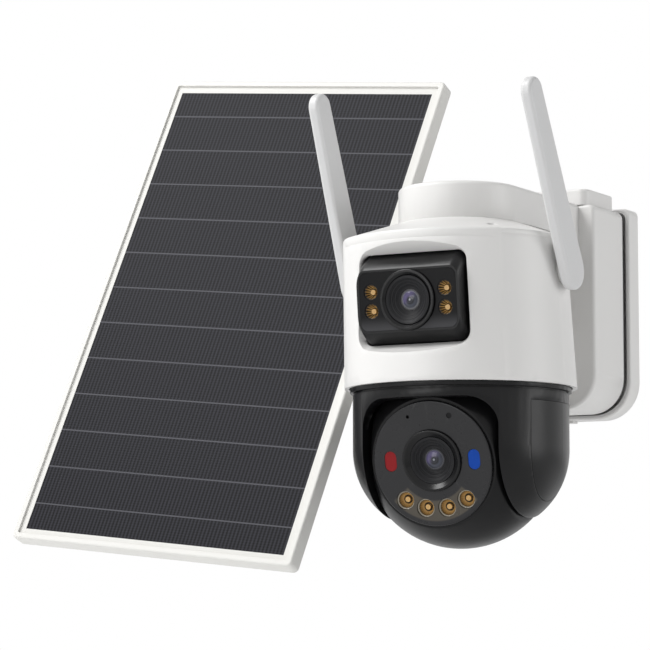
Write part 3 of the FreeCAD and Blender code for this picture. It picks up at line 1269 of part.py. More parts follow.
def make_yoke():
    body = new_body("yoke_shell")
    profile = sketch_on(body, "XZ")
    dome = CAVITY_RADIUS + DOME_WALL
    top = CAVITY_LOW - 1.2
    foot = root(dome * dome - (TILT_DROP + top) * (TILT_DROP + top))
    shoulder = root(dome * dome - HUB_RADIUS * HUB_RADIUS)
    nought = Size("0", 0)
    wide = YOKE_RADIUS
    ring_low = -COLLAR_LOW - GROOVE_DEEP
    outline(profile, [(nought, -YOKE_BAND - YOKE_CORNER), (wide, -YOKE_BAND - YOKE_CORNER),
                      (wide, ring_low - GROOVE_DEEP), (wide - GROOVE_DEEP, ring_low - GROOVE_DEEP),
                      (wide - GROOVE_DEEP, ring_low), (COLLAR_RADIUS, ring_low),
                      (COLLAR_RADIUS, top), (foot, top, dome), (HUB_RADIUS, shoulder - TILT_DROP),
                      (HUB_RADIUS, HUB_TOP), (nought, HUB_TOP)])
    turn(body, profile)
    ball = sketch_on(body, "XZ")
    outline(ball, [(nought, -TILT_DROP - CAVITY_RADIUS, CAVITY_RADIUS),
                   (CAVITY_RADIUS, -TILT_DROP, CAVITY_RADIUS), (nought, CAVITY_RADIUS - TILT_DROP)])
    turn(body, ball, cut=True)
    for side in (-1, 1):
        flank = sketch_on(body, "YZ", YOKE_OPENING * side)
        u_outline(flank, root(wide * wide - YOKE_OPENING * YOKE_OPENING), -TILT_DROP, -YOKE_BAND)
        pad(body, flank, YOKE_RADIUS - YOKE_OPENING, reverse=side < 0)
    trim = sketch_on(body, "XZ")
    below = -TILT_DROP - ARM_ROUND
    band_top = ring_low - GROOVE_DEEP
    outline(trim, [(wide - ARM_ROUND, below, ARM_ROUND), (wide, -TILT_DROP), (wide, band_top),
                   (wide * 2, band_top), (wide * 2, below)])
    turn(body, trim, cut=True)
    front = sketch_on(body, "XZ")
    rectangle(front, -YOKE_OPENING, YOKE_OPENING, -TILT_DROP - YOKE_RADIUS - 20, -YOKE_BAND,
              None, YOKE_CORNER)
    pocket(body, front, YOKE_RADIUS * 3, midplane=True)
    for side in (-1, 1):
        hollow = sketch_on(body, "YZ", YOKE_RADIUS * side)
        u_outline(hollow, POCKET_ROUND, -TILT_DROP, -YOKE_BAND - ARM_ROOF)
        pocket(body, hollow, YOKE_RADIUS - YOKE_OPENING - ARM_INNER, reverse=side < 0)
    bores = sketch_on(body, "YZ")
    circle(bores, 0, -TILT_DROP, TILT_SHAFT + PIN_GAP)
    pocket(body, bores, YOKE_RADIUS * 3, midplane=True)
    wires = sketch_on(body, "XY", HUB_TOP)
    circle(wires, 0, 0, SHAFT_GAP)
    pocket(body, wires, HUB_TOP)
    body.Placement = pan_place()


ARM_INNER = size("yoke_arm_inner_wall", 3)
ARM_ROOF = size("yoke_arm_roof", 1)
TILT_TEETH = 40
TILT_PINION_TEETH = 12
TILT_CENTRES = float(TILT_MODULE) * (TILT_TEETH + TILT_PINION_TEETH) / 2
TILT_CAN = float(size("tilt_motor_radius", 4))


def yoke_form(inset):
    """The yoke's outer form below its band, drawn inwards by an inset: a cylinder that rounds in."""
    level = -float(TILT_DROP)
    wide = float(YOKE_RADIUS) - inset
    bend = float(ARM_ROUND) - inset
    middle = wide - bend
    corners = [(0, level - bend), (middle, level - bend), (wide, level), (wide, level + 60), (0, level + 60)]
    points = [FreeCAD.Vector(across, 0, up) for across, up in corners]
    slant = math.sqrt(0.5) * bend
    crown = FreeCAD.Vector(middle + slant, 0, level - slant)
    sides = [Part.LineSegment(points[0], points[1]), Part.Arc(points[1], crown, points[2])]
    for number in (2, 3, 4):
        sides.append(Part.LineSegment(points[number], points[(number + 1) % 5]))
    face = Part.Face(Part.Wire([side.toShape() for side in sides]))
    return face.revolve(FreeCAD.Vector(0, 0, 0), FreeCAD.Vector(0, 0, 1), 360)


def make_yoke_sides():
    """Curved covers over the yoke's arms, and what the arms hold."""
    level = -float(TILT_DROP)
    outer = float(YOKE_RADIUS)
    thick = float(COVER_THICK)
    reach = float(POCKET_ROUND) - 0.2
    top = -float(YOKE_BAND + ARM_ROOF) - 0.2
    covers = []
    for side in (-1, 1):
        shell = yoke_form(0).cut(yoke_form(thick))
        start = FreeCAD.Vector(20 * side, 0, level)
        prism = Part.makeCylinder(reach, 60, start, FreeCAD.Vector(side, 0, 0))
        low, high = (20, 80) if side > 0 else (-80, -20)
        prism = prism.fuse(block((low, -reach, level), (high, reach, top)))
        cover = shell.common(prism).common(block((-80, -80, level - 60), (80, 80, top)))
        inside = yoke_form(thick / 2)
        for up in (-1, 1):
            near = (float(YOKE_OPENING) + float(ARM_INNER)) * side
            post = rod(2.2, FreeCAD.Vector(near, 21 * up, level - 4),
                       FreeCAD.Vector(outer * side, 21 * up, level - 4))
            cover = cover.fuse(post.common(inside))
        covers.append(cover)
    shaped("yoke_covers", together(covers), pan_place())
    inner = float(YOKE_OPENING)
    root_face = inner + float(ARM_INNER)
    face = root_face + 5.4
    way = FreeCAD.Vector(1, 0, 0)
    low = level + TILT_CENTRES
    centre = FreeCAD.Vector(face, 0, low)
    motor = Part.makeCylinder(TILT_CAN, 7.6, centre, way)
    motor = motor.cut(Part.makeCylinder(1.6, 3, centre, way))
    bar = block((face, -11.5, low - 1.5), (face + 1.2, 11.5, low + 1.5))
    motor = motor.fuse(bar.cut(Part.makeCylinder(2.4, 5, FreeCAD.Vector(face - 1, 0, low), way)))
    for across in (-11.5, 8.4):
        motor = motor.fuse(block((root_face, across, low - 1.5), (face + 1.2, across + 3.1, low + 1.5)))
    shaped("tilt_motor", motor, pan_place())
    pinion = gear(TILT_PINION_TEETH, float(TILT_MODULE), float(TILT_WIDE), math.pi / TILT_PINION_TEETH, 0)
    pinion = pinion.fuse(Part.makeCylinder(1.5, float(TILT_WIDE) + 3.6))
    pinion.Placement = FreeCAD.Placement(FreeCAD.Vector(root_face + 1.6, 0, low), gear_turn())
    shaped("tilt_pinion", together([pinion]), pan_place())


def gear_turn():
    """Turn a gear drawn about Z so that its axis is X and its phase is read from -Z."""
    return FreeCAD.Rotation(FreeCAD.Vector(0, 1, 0), 90)


TILT_WIDE = size("tilt_gear_width", 3)


# ---------------------------------------------------------------- eyeball

def eye_place():
    """The tilt centre, turned to the rest pan and tilt. The lens looks along -Y."""
    spot = FreeCAD.Vector(0, -float(PAN_OUT), float(RIM_HEIGHT - TILT_DROP))
    pan = FreeCAD.Rotation(FreeCAD.Vector(0, 0, 1), float(PAN_REST))
    tilt = FreeCAD.Rotation(FreeCAD.Vector(1, 0, 0), float(TILT_REST))
    return FreeCAD.Placement(spot, pan.multiply(tilt))


EYE_WALL = size("eyeball_wall", 2.2)
EYE_SPLIT = size("eyeball_split_behind_axis", 4)
EYE_ROUND = size("eyeball_side_round", 5)


def make_eyeball():
    for name, front in (("eyeball_front_shell", True), ("eyeball_rear_shell", False)):
        body = new_body(name)
        nought = Size("0", 0)
        outer = sketch_on(body, "XY")
        edge = root(BALL_RADIUS * BALL_RADIUS - BALL_HALF * BALL_HALF)
        outline(outer, [(-BALL_HALF, nought), (BALL_HALF, nought), (BALL_HALF, edge, BALL_RADIUS),
                        (nought, BALL_RADIUS, BALL_RADIUS), (-BALL_HALF, edge)])
        turn(body, outer, "H_Axis")

        def sides(candidate):
            box = candidate.BoundBox
            return box.XLength < 0.01 and box.YLength > 10

        soften(body, EYE_ROUND, sides)
        inner = sketch_on(body, "XY")
        small = BALL_RADIUS - EYE_WALL
        half = BALL_HALF - EYE_WALL
        inner_edge = root(small * small - half * half)
        outline(inner, [(-half, nought), (half, nought), (half, inner_edge, small),
                        (nought, small, small), (-half, inner_edge)])
        turn(body, inner, "H_Axis", cut=True)
        away = sketch_on(body, "XZ", -EYE_SPLIT)
        rectangle(away, -BALL_RADIUS * 2, BALL_RADIUS * 2, -BALL_RADIUS * 2, BALL_RADIUS * 2)
        pocket(body, away, BALL_RADIUS * 2, reverse=not front)
        if front:
            flat = sketch_on(body, "XZ", GLASS_BACK)
            rectangle(flat, -BALL_RADIUS * 2, BALL_RADIUS * 2, -BALL_RADIUS * 2, BALL_RADIUS * 2)
            pocket(body, flat, BALL_RADIUS, reverse=True)
        bores = sketch_on(body, "YZ")
        circle(bores, 0, 0, TILT_SHAFT + PIN_GAP)
        pocket(body, bores, BALL_HALF * 4, midplane=True)
        body.Placement = eye_place()


def eye_point(side, out, up):
    return FreeCAD.Vector(side, -out, up)


def make_tilt_shafts():
    inside = float(BALL_HALF) - float(EYE_WALL)
    inner = float(YOKE_OPENING) + float(ARM_INNER)
    gear_start = inner + 1.6
    shafts = []
    for side in (-1, 1):
        reach = inner + 1.2 if side < 0 else gear_start + float(TILT_WIDE)
        near = (inside - 3) * side
        shaft = rod(TILT_SHAFT, eye_point(near, 0, 0), eye_point(reach * side, 0, 0))
        flange = rod(8, eye_point(near, 0, 0), eye_point(inside * side, 0, 0))
        shafts.append(shaft.fuse(flange))
    wheel = gear(TILT_TEETH, float(TILT_MODULE), float(TILT_WIDE), math.pi, 0)
    level_again = FreeCAD.Rotation(FreeCAD.Vector(0, 0, 1), -float(TILT_REST))
    wheel.Placement = FreeCAD.Placement(FreeCAD.Vector(gear_start, 0, 0), gear_turn().multiply(level_again))
    shafts[1] = shafts[1].fuse(wheel)
    shaped("tilt_shafts", together(shafts), eye_place())


def stadium(side, up, half, straight, out, thick):
    """An upright pill shape whose front face lies at the given distance."""
    ends = []
    for level in (up - straight / 2, up + straight / 2):
        ends.append(rod(half, eye_point(side, out, level), eye_point(side, out - thick, level)))
    middle = block((side - half, -out, up - straight / 2), (side + half, thick - out, up + straight / 2))
    return ends[0].fuse(ends[1]).fuse(middle).removeSplitter()


OUTER_LAMPS = float(FACE_PLATE - size("outer_lamp_margin", 7.5))
INNER_LAMPS = float(FACE_PLATE - size("inner_lamp_margin", 9))


def lower_led_spots():
    """Four lamps on an arc under the lens, as distances across and up."""
    lamps = [(OUTER_LAMPS, -41.7), (INNER_LAMPS, -14.4), (INNER_LAMPS, 14.4), (OUTER_LAMPS, 41.7)]
    return [(reach * math.sin(math.radians(angle)), -reach * math.cos(math.radians(angle)))
            for reach, angle in lamps]


def make_eye_front():
    face = float(FACE_DISTANCE)
    thick = float(PLATE_THICK)
    up = float(LOWER_LENS_UP)
    gap = float(FIT_GAP)
    board_out = face - 5.4
    plate = rod(FACE_PLATE, eye_point(0, face, 0), eye_point(0, face - thick, 0))
    plate = plate.makeFillet(0.9, [e for e in plate.Edges if abs(e.BoundBox.YMax + face) < 0.01])
    for across, rise in ((0, 24), (-21.5, -10.5), (21.5, -10.5)):
        post = rod(1.8, eye_point(across, face - thick, rise), eye_point(across, board_out, rise))
        plate = plate.fuse(post)
    plate = plate.cut(rod(float(LOWER_RING) + gap, eye_point(0, face + 1, up), eye_point(0, face - 6, up)))
    straight = float(SIGNAL_STRAIGHT)
    for name, side in (("signal_light_red", -1), ("signal_light_blue", 1)):
        across = float(SIGNAL_SIDE) * side
        plate = plate.cut(stadium(across, up, float(SIGNAL_HALF) + gap, straight, face + 1, 4))
        lens = stadium(across, up, float(SIGNAL_HALF), straight, face - 0.2, face - 0.2 - board_out)
        shaped(name, lens, eye_place())
    board = rod(26, eye_point(0, board_out, 0), eye_point(0, board_out - 1.6, 0))
    board = board.cut(rod(float(LOWER_BARREL) + 0.3, eye_point(0, board_out + 1, up),
                          eye_point(0, board_out - 4, up)))
    cups = []
    for across, rise in lower_led_spots():
        plate = plate.cut(rod(float(LOWER_LED) + gap, eye_point(across, face + 1, rise),
                              eye_point(across, face - 3, rise)))
        cups.append(cup(float(LOWER_LED), 1.9, -face + 0.7, -board_out, FreeCAD.Vector(across, 0, rise)))
        board = board.fuse(rod(CHIP_RADIUS, eye_point(across, board_out + CHIP_HIGH, rise),
                               eye_point(across, board_out, rise)))
    for across, radius in ((-MIC_SIDE, 0.9), (MIC_SIDE, 1.5)):
        hole = rod(radius, eye_point(across, face + 1, MIC_UP), eye_point(across, face - 3, MIC_UP))
        plate = plate.cut(hole)
    shaped("face_plate", plate, eye_place())
    shaped("lower_led_reflectors", together(cups), eye_place())
    sensor = rod(1.45, eye_point(MIC_SIDE, face - 0.3, MIC_UP), eye_point(MIC_SIDE, board_out, MIC_UP))
    microphone = rod(2, eye_point(-MIC_SIDE, face - thick - 0.1, MIC_UP),
                     eye_point(-MIC_SIDE, board_out, MIC_UP))
    shaped("face_sensors", together([sensor, microphone]), eye_place())
    proud = 1.6
    front = eye_point(0, face + proud, up)
    way = FreeCAD.Vector(0, 1, 0)
    ring = rod(LOWER_RING, front, eye_point(0, board_out, up))
    ring = ring.makeFillet(0.8, [e for e in ring.Edges if abs(e.BoundBox.YMax + face + proud) < 0.01])
    ring = ring.cut(Part.makeCone(float(LOWER_RING) - 1.4, float(LOWER_BARREL), 2.2, front, way))
    ring = ring.cut(Part.makeCylinder(float(LOWER_BARREL), 9, front, way))
    shaped("lower_lens_ring", ring, eye_place())
    barrel_face = eye_point(0, face + proud - 1.8, up)
    barrel = Part.makeCylinder(float(LOWER_BARREL), 22, barrel_face, way)
    step_radius = float(LOWER_BARREL) - 1.1
    depth = 0.0
    for number in range(3):
        start = FreeCAD.Vector(0, barrel_face.y + depth, up)
        barrel = barrel.cut(Part.makeCone(step_radius, step_radius - 1.1, 1.2, start, way))
        step_radius -= 1.6
        depth += 1.2
    barrel = barrel.cut(Part.makeCylinder(float(LOWER_GLASS), 5.2, barrel_face, way))
    shaped("lower_lens_barrel", barrel, eye_place())
    glass_y = barrel_face.y + 3.4
    glass = Part.makeCylinder(float(LOWER_GLASS) - 0.05, 1.7, FreeCAD.Vector(0, glass_y, up), way)
    dome = Part.makeSphere(9.5, FreeCAD.Vector(0, glass_y - 1.2 + 9.5, up))
    rim = FreeCAD.Vector(0, glass_y - 1.3, up)
    dome = dome.common(Part.makeCylinder(float(LOWER_GLASS) - 0.05, 2.0, rim, way))
    shaped("lower_lens_glass", glass.fuse(dome), eye_place())
    sensor_face = -barrel_face.y - 22
    plate_low = block((-13, -sensor_face, up - 13), (13, -sensor_face + 1.6, up + 13))
    plate_low = plate_low.fuse(block((-6, -sensor_face + 1.6, up - 6), (6, -sensor_face + 2.8, up + 6)))
    shaped("lower_boards", together([board, plate_low]), eye_place())


MIC_SIDE = 11.6
MIC_UP = float(FACE_PLATE) - 8.3


# ---------------------------------------------------------------- solar panel and bracket

def panel_place():
    """The middle of the panel's front face; the panel faces -Y before it leans back."""
    spot = FreeCAD.Vector(float(PANEL_SIDE), -float(PANEL_OUT), float(PANEL_LEVEL))
    lean = FreeCAD.Rotation(FreeCAD.Vector(1, 0, 0), -float(PANEL_TILT))
    roll = FreeCAD.Rotation(FreeCAD.Vector(0, 1, 0), float(PANEL_ROLL))
    return FreeCAD.Placement(spot, lean.multiply(roll))


FRAME_WALL = size("panel_frame_wall", 2.6)
BACKSHEET = size("backsheet_thickness", 2)
LAMINATE = size("panel_laminate_thickness", 2.8)


panel_screws = []


def panel_rectangle(sketch, inset, corner):
    """The panel's outline, drawn inwards by an inset."""
    wide = PANEL_WIDTH / 2 - inset
    high = PANEL_HEIGHT / 2 - inset
    rectangle(sketch, -wide, wide, -high, high, corner, corner)


def make_panel():
    body = new_body("panel_frame")
    outer = sketch_on(body, "XZ", -PANEL_THICK)
    panel_rectangle(outer, Size("0", 0), PANEL_CORNER)
    pad(body, outer, PANEL_THICK)
    soften(body, size("panel_edge_round", 1.2), flat_in("y", 0))
    window = sketch_on(body, "XZ")
    panel_rectangle(window, PANEL_BORDER, Size("1", 1))
    pocket(body, window, PANEL_THICK)
    back = sketch_on(body, "XZ", -PANEL_THICK)
    panel_rectangle(back, FRAME_WALL, None)
    pocket(body, back, PANEL_THICK - PANEL_LIP, reverse=True)
    body.Placement = panel_place()
    half_wide = float(PANEL_WIDTH / 2 - FRAME_WALL - FIT_GAP)
    half_high = float(PANEL_HEIGHT / 2 - FRAME_WALL - FIT_GAP)
    lip = float(PANEL_LIP)
    cells_back = lip + float(LAMINATE)
    laminate = block((-half_wide, lip, -half_high), (half_wide, cells_back, half_high))
    shaped("panel_laminate", laminate, panel_place())
    thick = float(PANEL_THICK)
    sheet_front = thick - float(BACKSHEET)
    back = block((-half_wide, sheet_front, -half_high), (half_wide, thick, half_high))
    for across in (-1, 0, 1):
        rib = block((across * 60 - 1, cells_back, -half_high + 6),
                    (across * 60 + 1, sheet_front, half_high - 6))
        back = back.fuse(rib)
    for across in (-1, 1):
        for rise in (-1, 0, 1):
            spot = FreeCAD.Vector(across * (half_wide - 7), thick, rise * (half_high - 9))
            boss = Part.makeCylinder(3.4, thick - cells_back, spot, FreeCAD.Vector(0, -1, 0))
            back = back.fuse(boss)
            grip = thick - cells_back - 0.6
            hole = Part.makeCylinder(float(SCREW + PIN_GAP), grip, spot, FreeCAD.Vector(0, -1, 0))
            back = back.cut(hole)
            panel_screws.append(screw(float(SCREW), 2.8, 1.5, grip - 0.4, spot, FreeCAD.Vector(0, -1, 0)))
    shaped("panel_back", back, panel_place())
    box_low = -float(PANEL_HEIGHT) / 2 + 28
    junction = block((-22, thick, box_low), (22, thick + 12, box_low + 34))
    junction = junction.makeFillet(4, [e for e in junction.Edges if abs(e.BoundBox.YLength - 12) < 0.01])
    junction = junction.cut(block((-19.5, thick + 2, box_low + 2.5), (19.5, thick + 12, box_low + 31.5)))
    outlet = FreeCAD.Vector(0, thick + 6, box_low - 1)
    junction = junction.cut(Part.makeCylinder(float(GLAND_RADIUS + PIN_GAP), 4.5, outlet))
    lid = block((-21.5, thick + 12, box_low + 0.5), (21.5, thick + 14, box_low + 33.5))
    lid = lid.makeFillet(3.5, [e for e in lid.Edges if abs(e.BoundBox.YLength - 2) < 0.01])
    shaped("junction_box", junction.fuse(lid), panel_place())
    gland = Part.makeCylinder(float(GLAND_RADIUS), 8, FreeCAD.Vector(0, thick + 6, box_low - 5.5))
    nut = hexagon(float(GLAND_RADIUS) + 1.8, 3.4)
    nut.translate(FreeCAD.Vector(0, thick + 6, box_low - 3.6))
    gland = gland.fuse(nut).cut(Part.makeCylinder(2, 12, FreeCAD.Vector(0, thick + 6, box_low - 7)))
    shaped("cable_gland", gland, panel_place())


PANEL_LIP = size("panel_front_lip", 1.4)
GLAND_RADIUS = size("cable_gland_radius", 3.6)


def hexagon(radius, high):
    angles = [math.radians(60 * number) for number in range(6)]
    corners = [FreeCAD.Vector(radius * math.cos(a), radius * math.sin(a), 0) for a in angles]
    return Part.Face(Part.makePolygon(corners + [corners[0]])).extrude(FreeCAD.Vector(0, 0, high))


def pivot_point():
    return panel_place().multVec(FreeCAD.Vector(0, float(PIVOT_BACK), 0))


def wall_axis(out, x=0.0, z=0.0):
    """A point of the bracket drawn about its own axis, at a distance from the wall."""
    return FreeCAD.Vector(x, -float(out), z)


def bracket_place():
    """The bracket's axis meets the wall level with the pivot."""
    pivot = pivot_point()
    return FreeCAD.Placement(FreeCAD.Vector(pivot.x, 0, pivot.z), FreeCAD.Rotation())


def make_bracket_base():
    depth = float(BASE_DEPTH)
    mouth = depth + 14
    clamp_out = mouth - 7
    base = rod(BASE_RADIUS, wall_axis(0), wall_axis(depth))
    base = base.makeFillet(1.5, [e for e in base.Edges if abs(e.BoundBox.YMax + depth) < 0.01])
    for number in range(3):
        angle = math.radians(90 + 120 * number)
        across = float(BASE_HOLES) * math.cos(angle)
        up = float(BASE_HOLES) * math.sin(angle)
        base = base.cut(rod(HOLE_RADIUS, wall_axis(-1, across, up), wall_axis(depth + 1, across, up)))
    base = base.fuse(rod(15, wall_axis(depth - 0.5), wall_axis(mouth)))
    base = base.cut(rod(POST_RADIUS + PIN_GAP, wall_axis(3), wall_axis(mouth + 1)))
    base = base.cut(rod(CLAMP_RADIUS + PIN_GAP, wall_axis(clamp_out), wall_axis(clamp_out, 0, -30)))
    shaped("bracket_wall_base", base, bracket_place())
    tip = -float(POST_RADIUS) - 0.3
    clamp = rod(CLAMP_RADIUS, wall_axis(clamp_out, 0, tip), wall_axis(clamp_out, 0, -17))
    knob = rod(6.5, wall_axis(clamp_out, 0, -16), wall_axis(clamp_out, 0, -26))
    for number in range(8):
        angle = math.radians(45 * number)
        across = 7.3 * math.cos(angle)
        out = clamp_out + 7.3 * math.sin(angle)
        knob = knob.cut(rod(1.6, wall_axis(out, across, -27), wall_axis(out, across, -15)))
    shaped("bracket_clamp_screw", clamp.fuse(knob), bracket_place())


def make_bracket_fork():
    pivot_out = -pivot_point().y
    inner = float(TONGUE_HALF + RUN_GAP)
    outer = inner + 4
    fork = rod(POST_RADIUS, wall_axis(3 + float(RUN_GAP)), wall_axis(pivot_out - 11))
    fork = fork.fuse(block((-outer, -pivot_out + 10.5, -8), (outer, -pivot_out + 14, 8)))
    for low, high in ((-outer, -inner), (inner, outer)):
        fork = fork.fuse(block((low, -pivot_out, -8), (high, -pivot_out + 14, 8)))
        fork = fork.fuse(rod(8, wall_axis(pivot_out, low), wall_axis(pivot_out, high)))
    fork = fork.cut(rod(BOLT_RADIUS + PIN_GAP, wall_axis(pivot_out, -30), wall_axis(pivot_out, 30)))
    shaped("bracket_fork", fork, bracket_place())
    bolt = rod(BOLT_RADIUS, wall_axis(pivot_out, -outer - 3.5), wall_axis(pivot_out, outer + 4))
    head = hexagon(5, 3)
    head.Placement = FreeCAD.Placement(wall_axis(pivot_out, -outer - 3.2), gear_turn())
    nut = rod(6, wall_axis(pivot_out, outer + 0.2), wall_axis(pivot_out, outer + 7))
    for low, high in ((4.5, 13), (-13, -4.5)):
        nut = nut.fuse(block((outer + 1.5, -pivot_out - 1.2, low), (outer + 7, -pivot_out + 1.2, high)))
    shaped("bracket_pivot_bolt", bolt.fuse(head).fuse(nut), bracket_place())


def make_bracket_tongue():
    thick = float(PANEL_THICK)
    gap_to_panel = float(PIVOT_BACK) - thick
    half = float(TONGUE_HALF)
    stud = float(STUD_RADIUS)
    foot = stud + 2.2
    tongue = block((-half, -gap_to_panel + 7.5, -7), (half, 0, 7))
    tongue = tongue.fuse(rod(7, wall_axis(0, -half), wall_axis(0, half)))
    tongue = tongue.fuse(rod(16, wall_axis(gap_to_panel - 8), wall_axis(gap_to_panel - 4 - float(RUN_GAP))))
    tongue = tongue.fuse(rod(stud, wall_axis(gap_to_panel - 6), wall_axis(gap_to_panel - 1.2)))
    tongue = tongue.fuse(rod(foot, wall_axis(gap_to_panel - 2.3), wall_axis(gap_to_panel - 0.7)))
    tongue = tongue.cut(rod(BOLT_RADIUS + PIN_GAP, wall_axis(0, -30), wall_axis(0, 30)))
    lean = FreeCAD.Rotation(FreeCAD.Vector(1, 0, 0), -float(PANEL_TILT))
    shaped("bracket_tongue", tongue, FreeCAD.Placement(pivot_point(), lean))
    plate = block((-26, thick, -26), (26, thick + 4, 26))
    plate = plate.makeFillet(6, [e for e in plate.Edges if abs(e.BoundBox.YLength - 4) < 0.01])
    plate = plate.cut(rod(stud + float(PIN_GAP), wall_axis(1 - thick), wall_axis(-thick - 5)))
    plate = plate.cut(rod(foot + float(PIN_GAP), wall_axis(-thick), wall_axis(-thick - 2.6)))
    for across in (-19, 19):
        for up in (-19, 19):
            spot = wall_axis(-thick - 4, across, up)
            plate = plate.cut(rod(SCREW + PIN_GAP, spot, wall_axis(-thick, across, up)))
            panel_screws.append(screw(float(SCREW), 2.8, 1.5, 3.8, spot, FreeCAD.Vector(0, -1, 0)))
    shaped("panel_mount_plate", plate, panel_place())
    shaped("panel_screws", together(panel_screws), panel_place())


CLAMP_RADIUS = size("clamp_screw_radius", 2.5)
TONGUE_HALF = size("tongue_half_width", 6)
BOLT_RADIUS = size("pivot_bolt_radius", 2.5)
STUD_RADIUS = size("stud_radius", 5)


# ---------------------------------------------------------------- build, check and write

make_wall_plate()
make_release_latch()
make_housing()
make_housing_seal()
make_back_cover()
make_plate_screws()
make_battery()
make_power_board()
make_bay_cover()
make_inlet()
make_arm()
make_head_shell()
make_head_cap()
make_chassis()
make_pan_drive()
make_pan_pinion()
make_pan_gear()
make_head_electronics()
make_lens_drum()
make_upper_optics()
make_antenna(1)
make_antenna(-1)
shaped("antenna_hinges", together(hinges))
make_yoke()
make_yoke_sides()
make_eyeball()
make_tilt_shafts()
make_eye_front()
make_panel()
make_bracket_base()
make_bracket_fork()
make_bracket_tongue()
doc.recompute()

faults = []
for item in doc.Objects:
    if "Invalid" in item.State or "Error" in item.State:
        faults.append(item.Name + " " + str(item.State))
for item in subparts:
    if item.Shape.isNull() or not item.Shape.isValid() or len(item.Shape.Solids) < 1:
        faults.append(item.Label + " has no valid shape")
if faults:
    raise RuntimeError("; ".join(faults))
for item in subparts:
    item.Shape.exportStep(os.path.join("parts", item.Label + ".step"))
    print(item.Label, len(item.Shape.Solids), round(item.Shape.Volume, 1))
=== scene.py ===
import json
import math

import bmesh
import bpy
from mathutils import Matrix, Vector


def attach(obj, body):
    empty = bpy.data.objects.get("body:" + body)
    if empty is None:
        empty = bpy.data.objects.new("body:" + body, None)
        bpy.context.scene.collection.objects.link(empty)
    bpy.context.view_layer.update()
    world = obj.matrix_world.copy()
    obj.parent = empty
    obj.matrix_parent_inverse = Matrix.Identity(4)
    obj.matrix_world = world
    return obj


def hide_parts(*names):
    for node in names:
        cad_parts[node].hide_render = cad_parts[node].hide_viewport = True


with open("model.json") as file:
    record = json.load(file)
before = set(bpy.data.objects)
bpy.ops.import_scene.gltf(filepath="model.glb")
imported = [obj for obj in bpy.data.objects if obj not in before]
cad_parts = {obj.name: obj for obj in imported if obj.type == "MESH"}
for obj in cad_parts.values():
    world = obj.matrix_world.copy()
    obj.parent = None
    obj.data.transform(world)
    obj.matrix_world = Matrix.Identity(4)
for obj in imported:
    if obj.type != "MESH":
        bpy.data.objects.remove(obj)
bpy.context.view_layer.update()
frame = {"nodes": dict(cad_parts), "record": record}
nodes = frame["nodes"]
MM = 0.001


# ---------------------------------------------------------------- places shared with the CAD

PAN_REST = math.radians(5)
TILT_REST = math.radians(13)
EYE_CENTRE = Vector((0, -0.134, -0.083))
EYE = (Matrix.Translation(EYE_CENTRE) @ Matrix.Rotation(PAN_REST, 4, "Z")
       @ Matrix.Rotation(TILT_REST, 4, "X"))
DRUM = Matrix.Translation((0, -0.174534, -0.006254)) @ Matrix.Rotation(math.radians(6), 4, "X")
PANEL = (Matrix.Translation((-0.1657, -0.1, 0.0056)) @ Matrix.Rotation(math.radians(-22.9), 4, "X")
         @ Matrix.Rotation(math.radians(6.4), 4, "Y"))
DRUM_FACE = -19.573      # millimetres along the drum's own Y
EYE_FACE = -41.0         # millimetres along the eyeball's own Y


# ---------------------------------------------------------------- materials

class Nodes:
    """A material and short calls that add nodes to it."""

    def __init__(self, name):
        self.mat = bpy.data.materials.new(name)
        self.mat.use_nodes = True
        self.tree = self.mat.node_tree
        self.shader = self.tree.nodes["Principled BSDF"]

    def add(self, kind, **settings):
        node = self.tree.nodes.new(kind)
        for key, value in settings.items():
            if key in node.inputs:
                node.inputs[key].default_value = value
            else:
                setattr(node, key, value)
        return node

    def link(self, source, target):
        self.tree.links.new(source, target)

    def math(self, operation, first, second=None):
        node = self.add("ShaderNodeMath", operation=operation)
        for slot, value in ((0, first), (1, second)):
            if value is None:
                continue
            if isinstance(value, (int, float)):
                node.inputs[slot].default_value = value
            else:
                self.link(value, node.inputs[slot])
        return node.outputs[0]

    def place(self, matrix=None):
        """Object coordinates, in the frame of a part if its matrix is given."""
        coords = self.add("ShaderNodeTexCoord").outputs["Object"]
        if matrix is None:
            return coords
        inverse = matrix.inverted()
        mapping = self.add("ShaderNodeMapping")
        mapping.inputs["Location"].default_value = inverse.translation
        mapping.inputs["Rotation"].default_value = inverse.to_euler("XYZ")
        self.link(coords, mapping.inputs["Vector"])
        return mapping.outputs[0]

    def noise(self, vector, scale, detail=3.0, rough=0.6):
        node = self.add("ShaderNodeTexNoise")
        node.inputs["Scale"].default_value = scale
        node.inputs["Detail"].default_value = detail
        node.inputs["Roughness"].default_value = rough
        self.link(vector, node.inputs["Vector"])
        return node.outputs["Fac"]

    def spread(self, value, low, high):
        """Map 0..1 to low..high."""
        node = self.add("ShaderNodeMapRange")
        node.inputs["To Min"].default_value = low
        node.inputs["To Max"].default_value = high
        self.link(value, node.inputs["Value"])
        return node.outputs[0]

    def blend(self, factor, first, second):
        """Mix two colours, each a colour or a socket."""
        node = self.add("ShaderNodeMix", data_type="RGBA")
        if isinstance(factor, (int, float)):
            node.inputs[0].default_value = factor
        else:
            self.link(factor, node.inputs[0])
        for slot, value in ((6, first), (7, second)):
            if isinstance(value, (tuple, list)):
                node.inputs[slot].default_value = tuple(value)[:3] + (1.0,)
            else:
                self.link(value, node.inputs[slot])
        return node.outputs[2]

    def bump(self, height, distance):
        node = self.add("ShaderNodeBump")
        node.inputs["Distance"].default_value = distance
        node.inputs["Strength"].default_value = 1.0
        self.link(height, node.inputs["Height"])
        self.link(node.outputs[0], self.shader.inputs["Normal"])

    def set(self, **values):
        for key, value in values.items():
            self.shader.inputs[key.replace("_", " ")].default_value = value


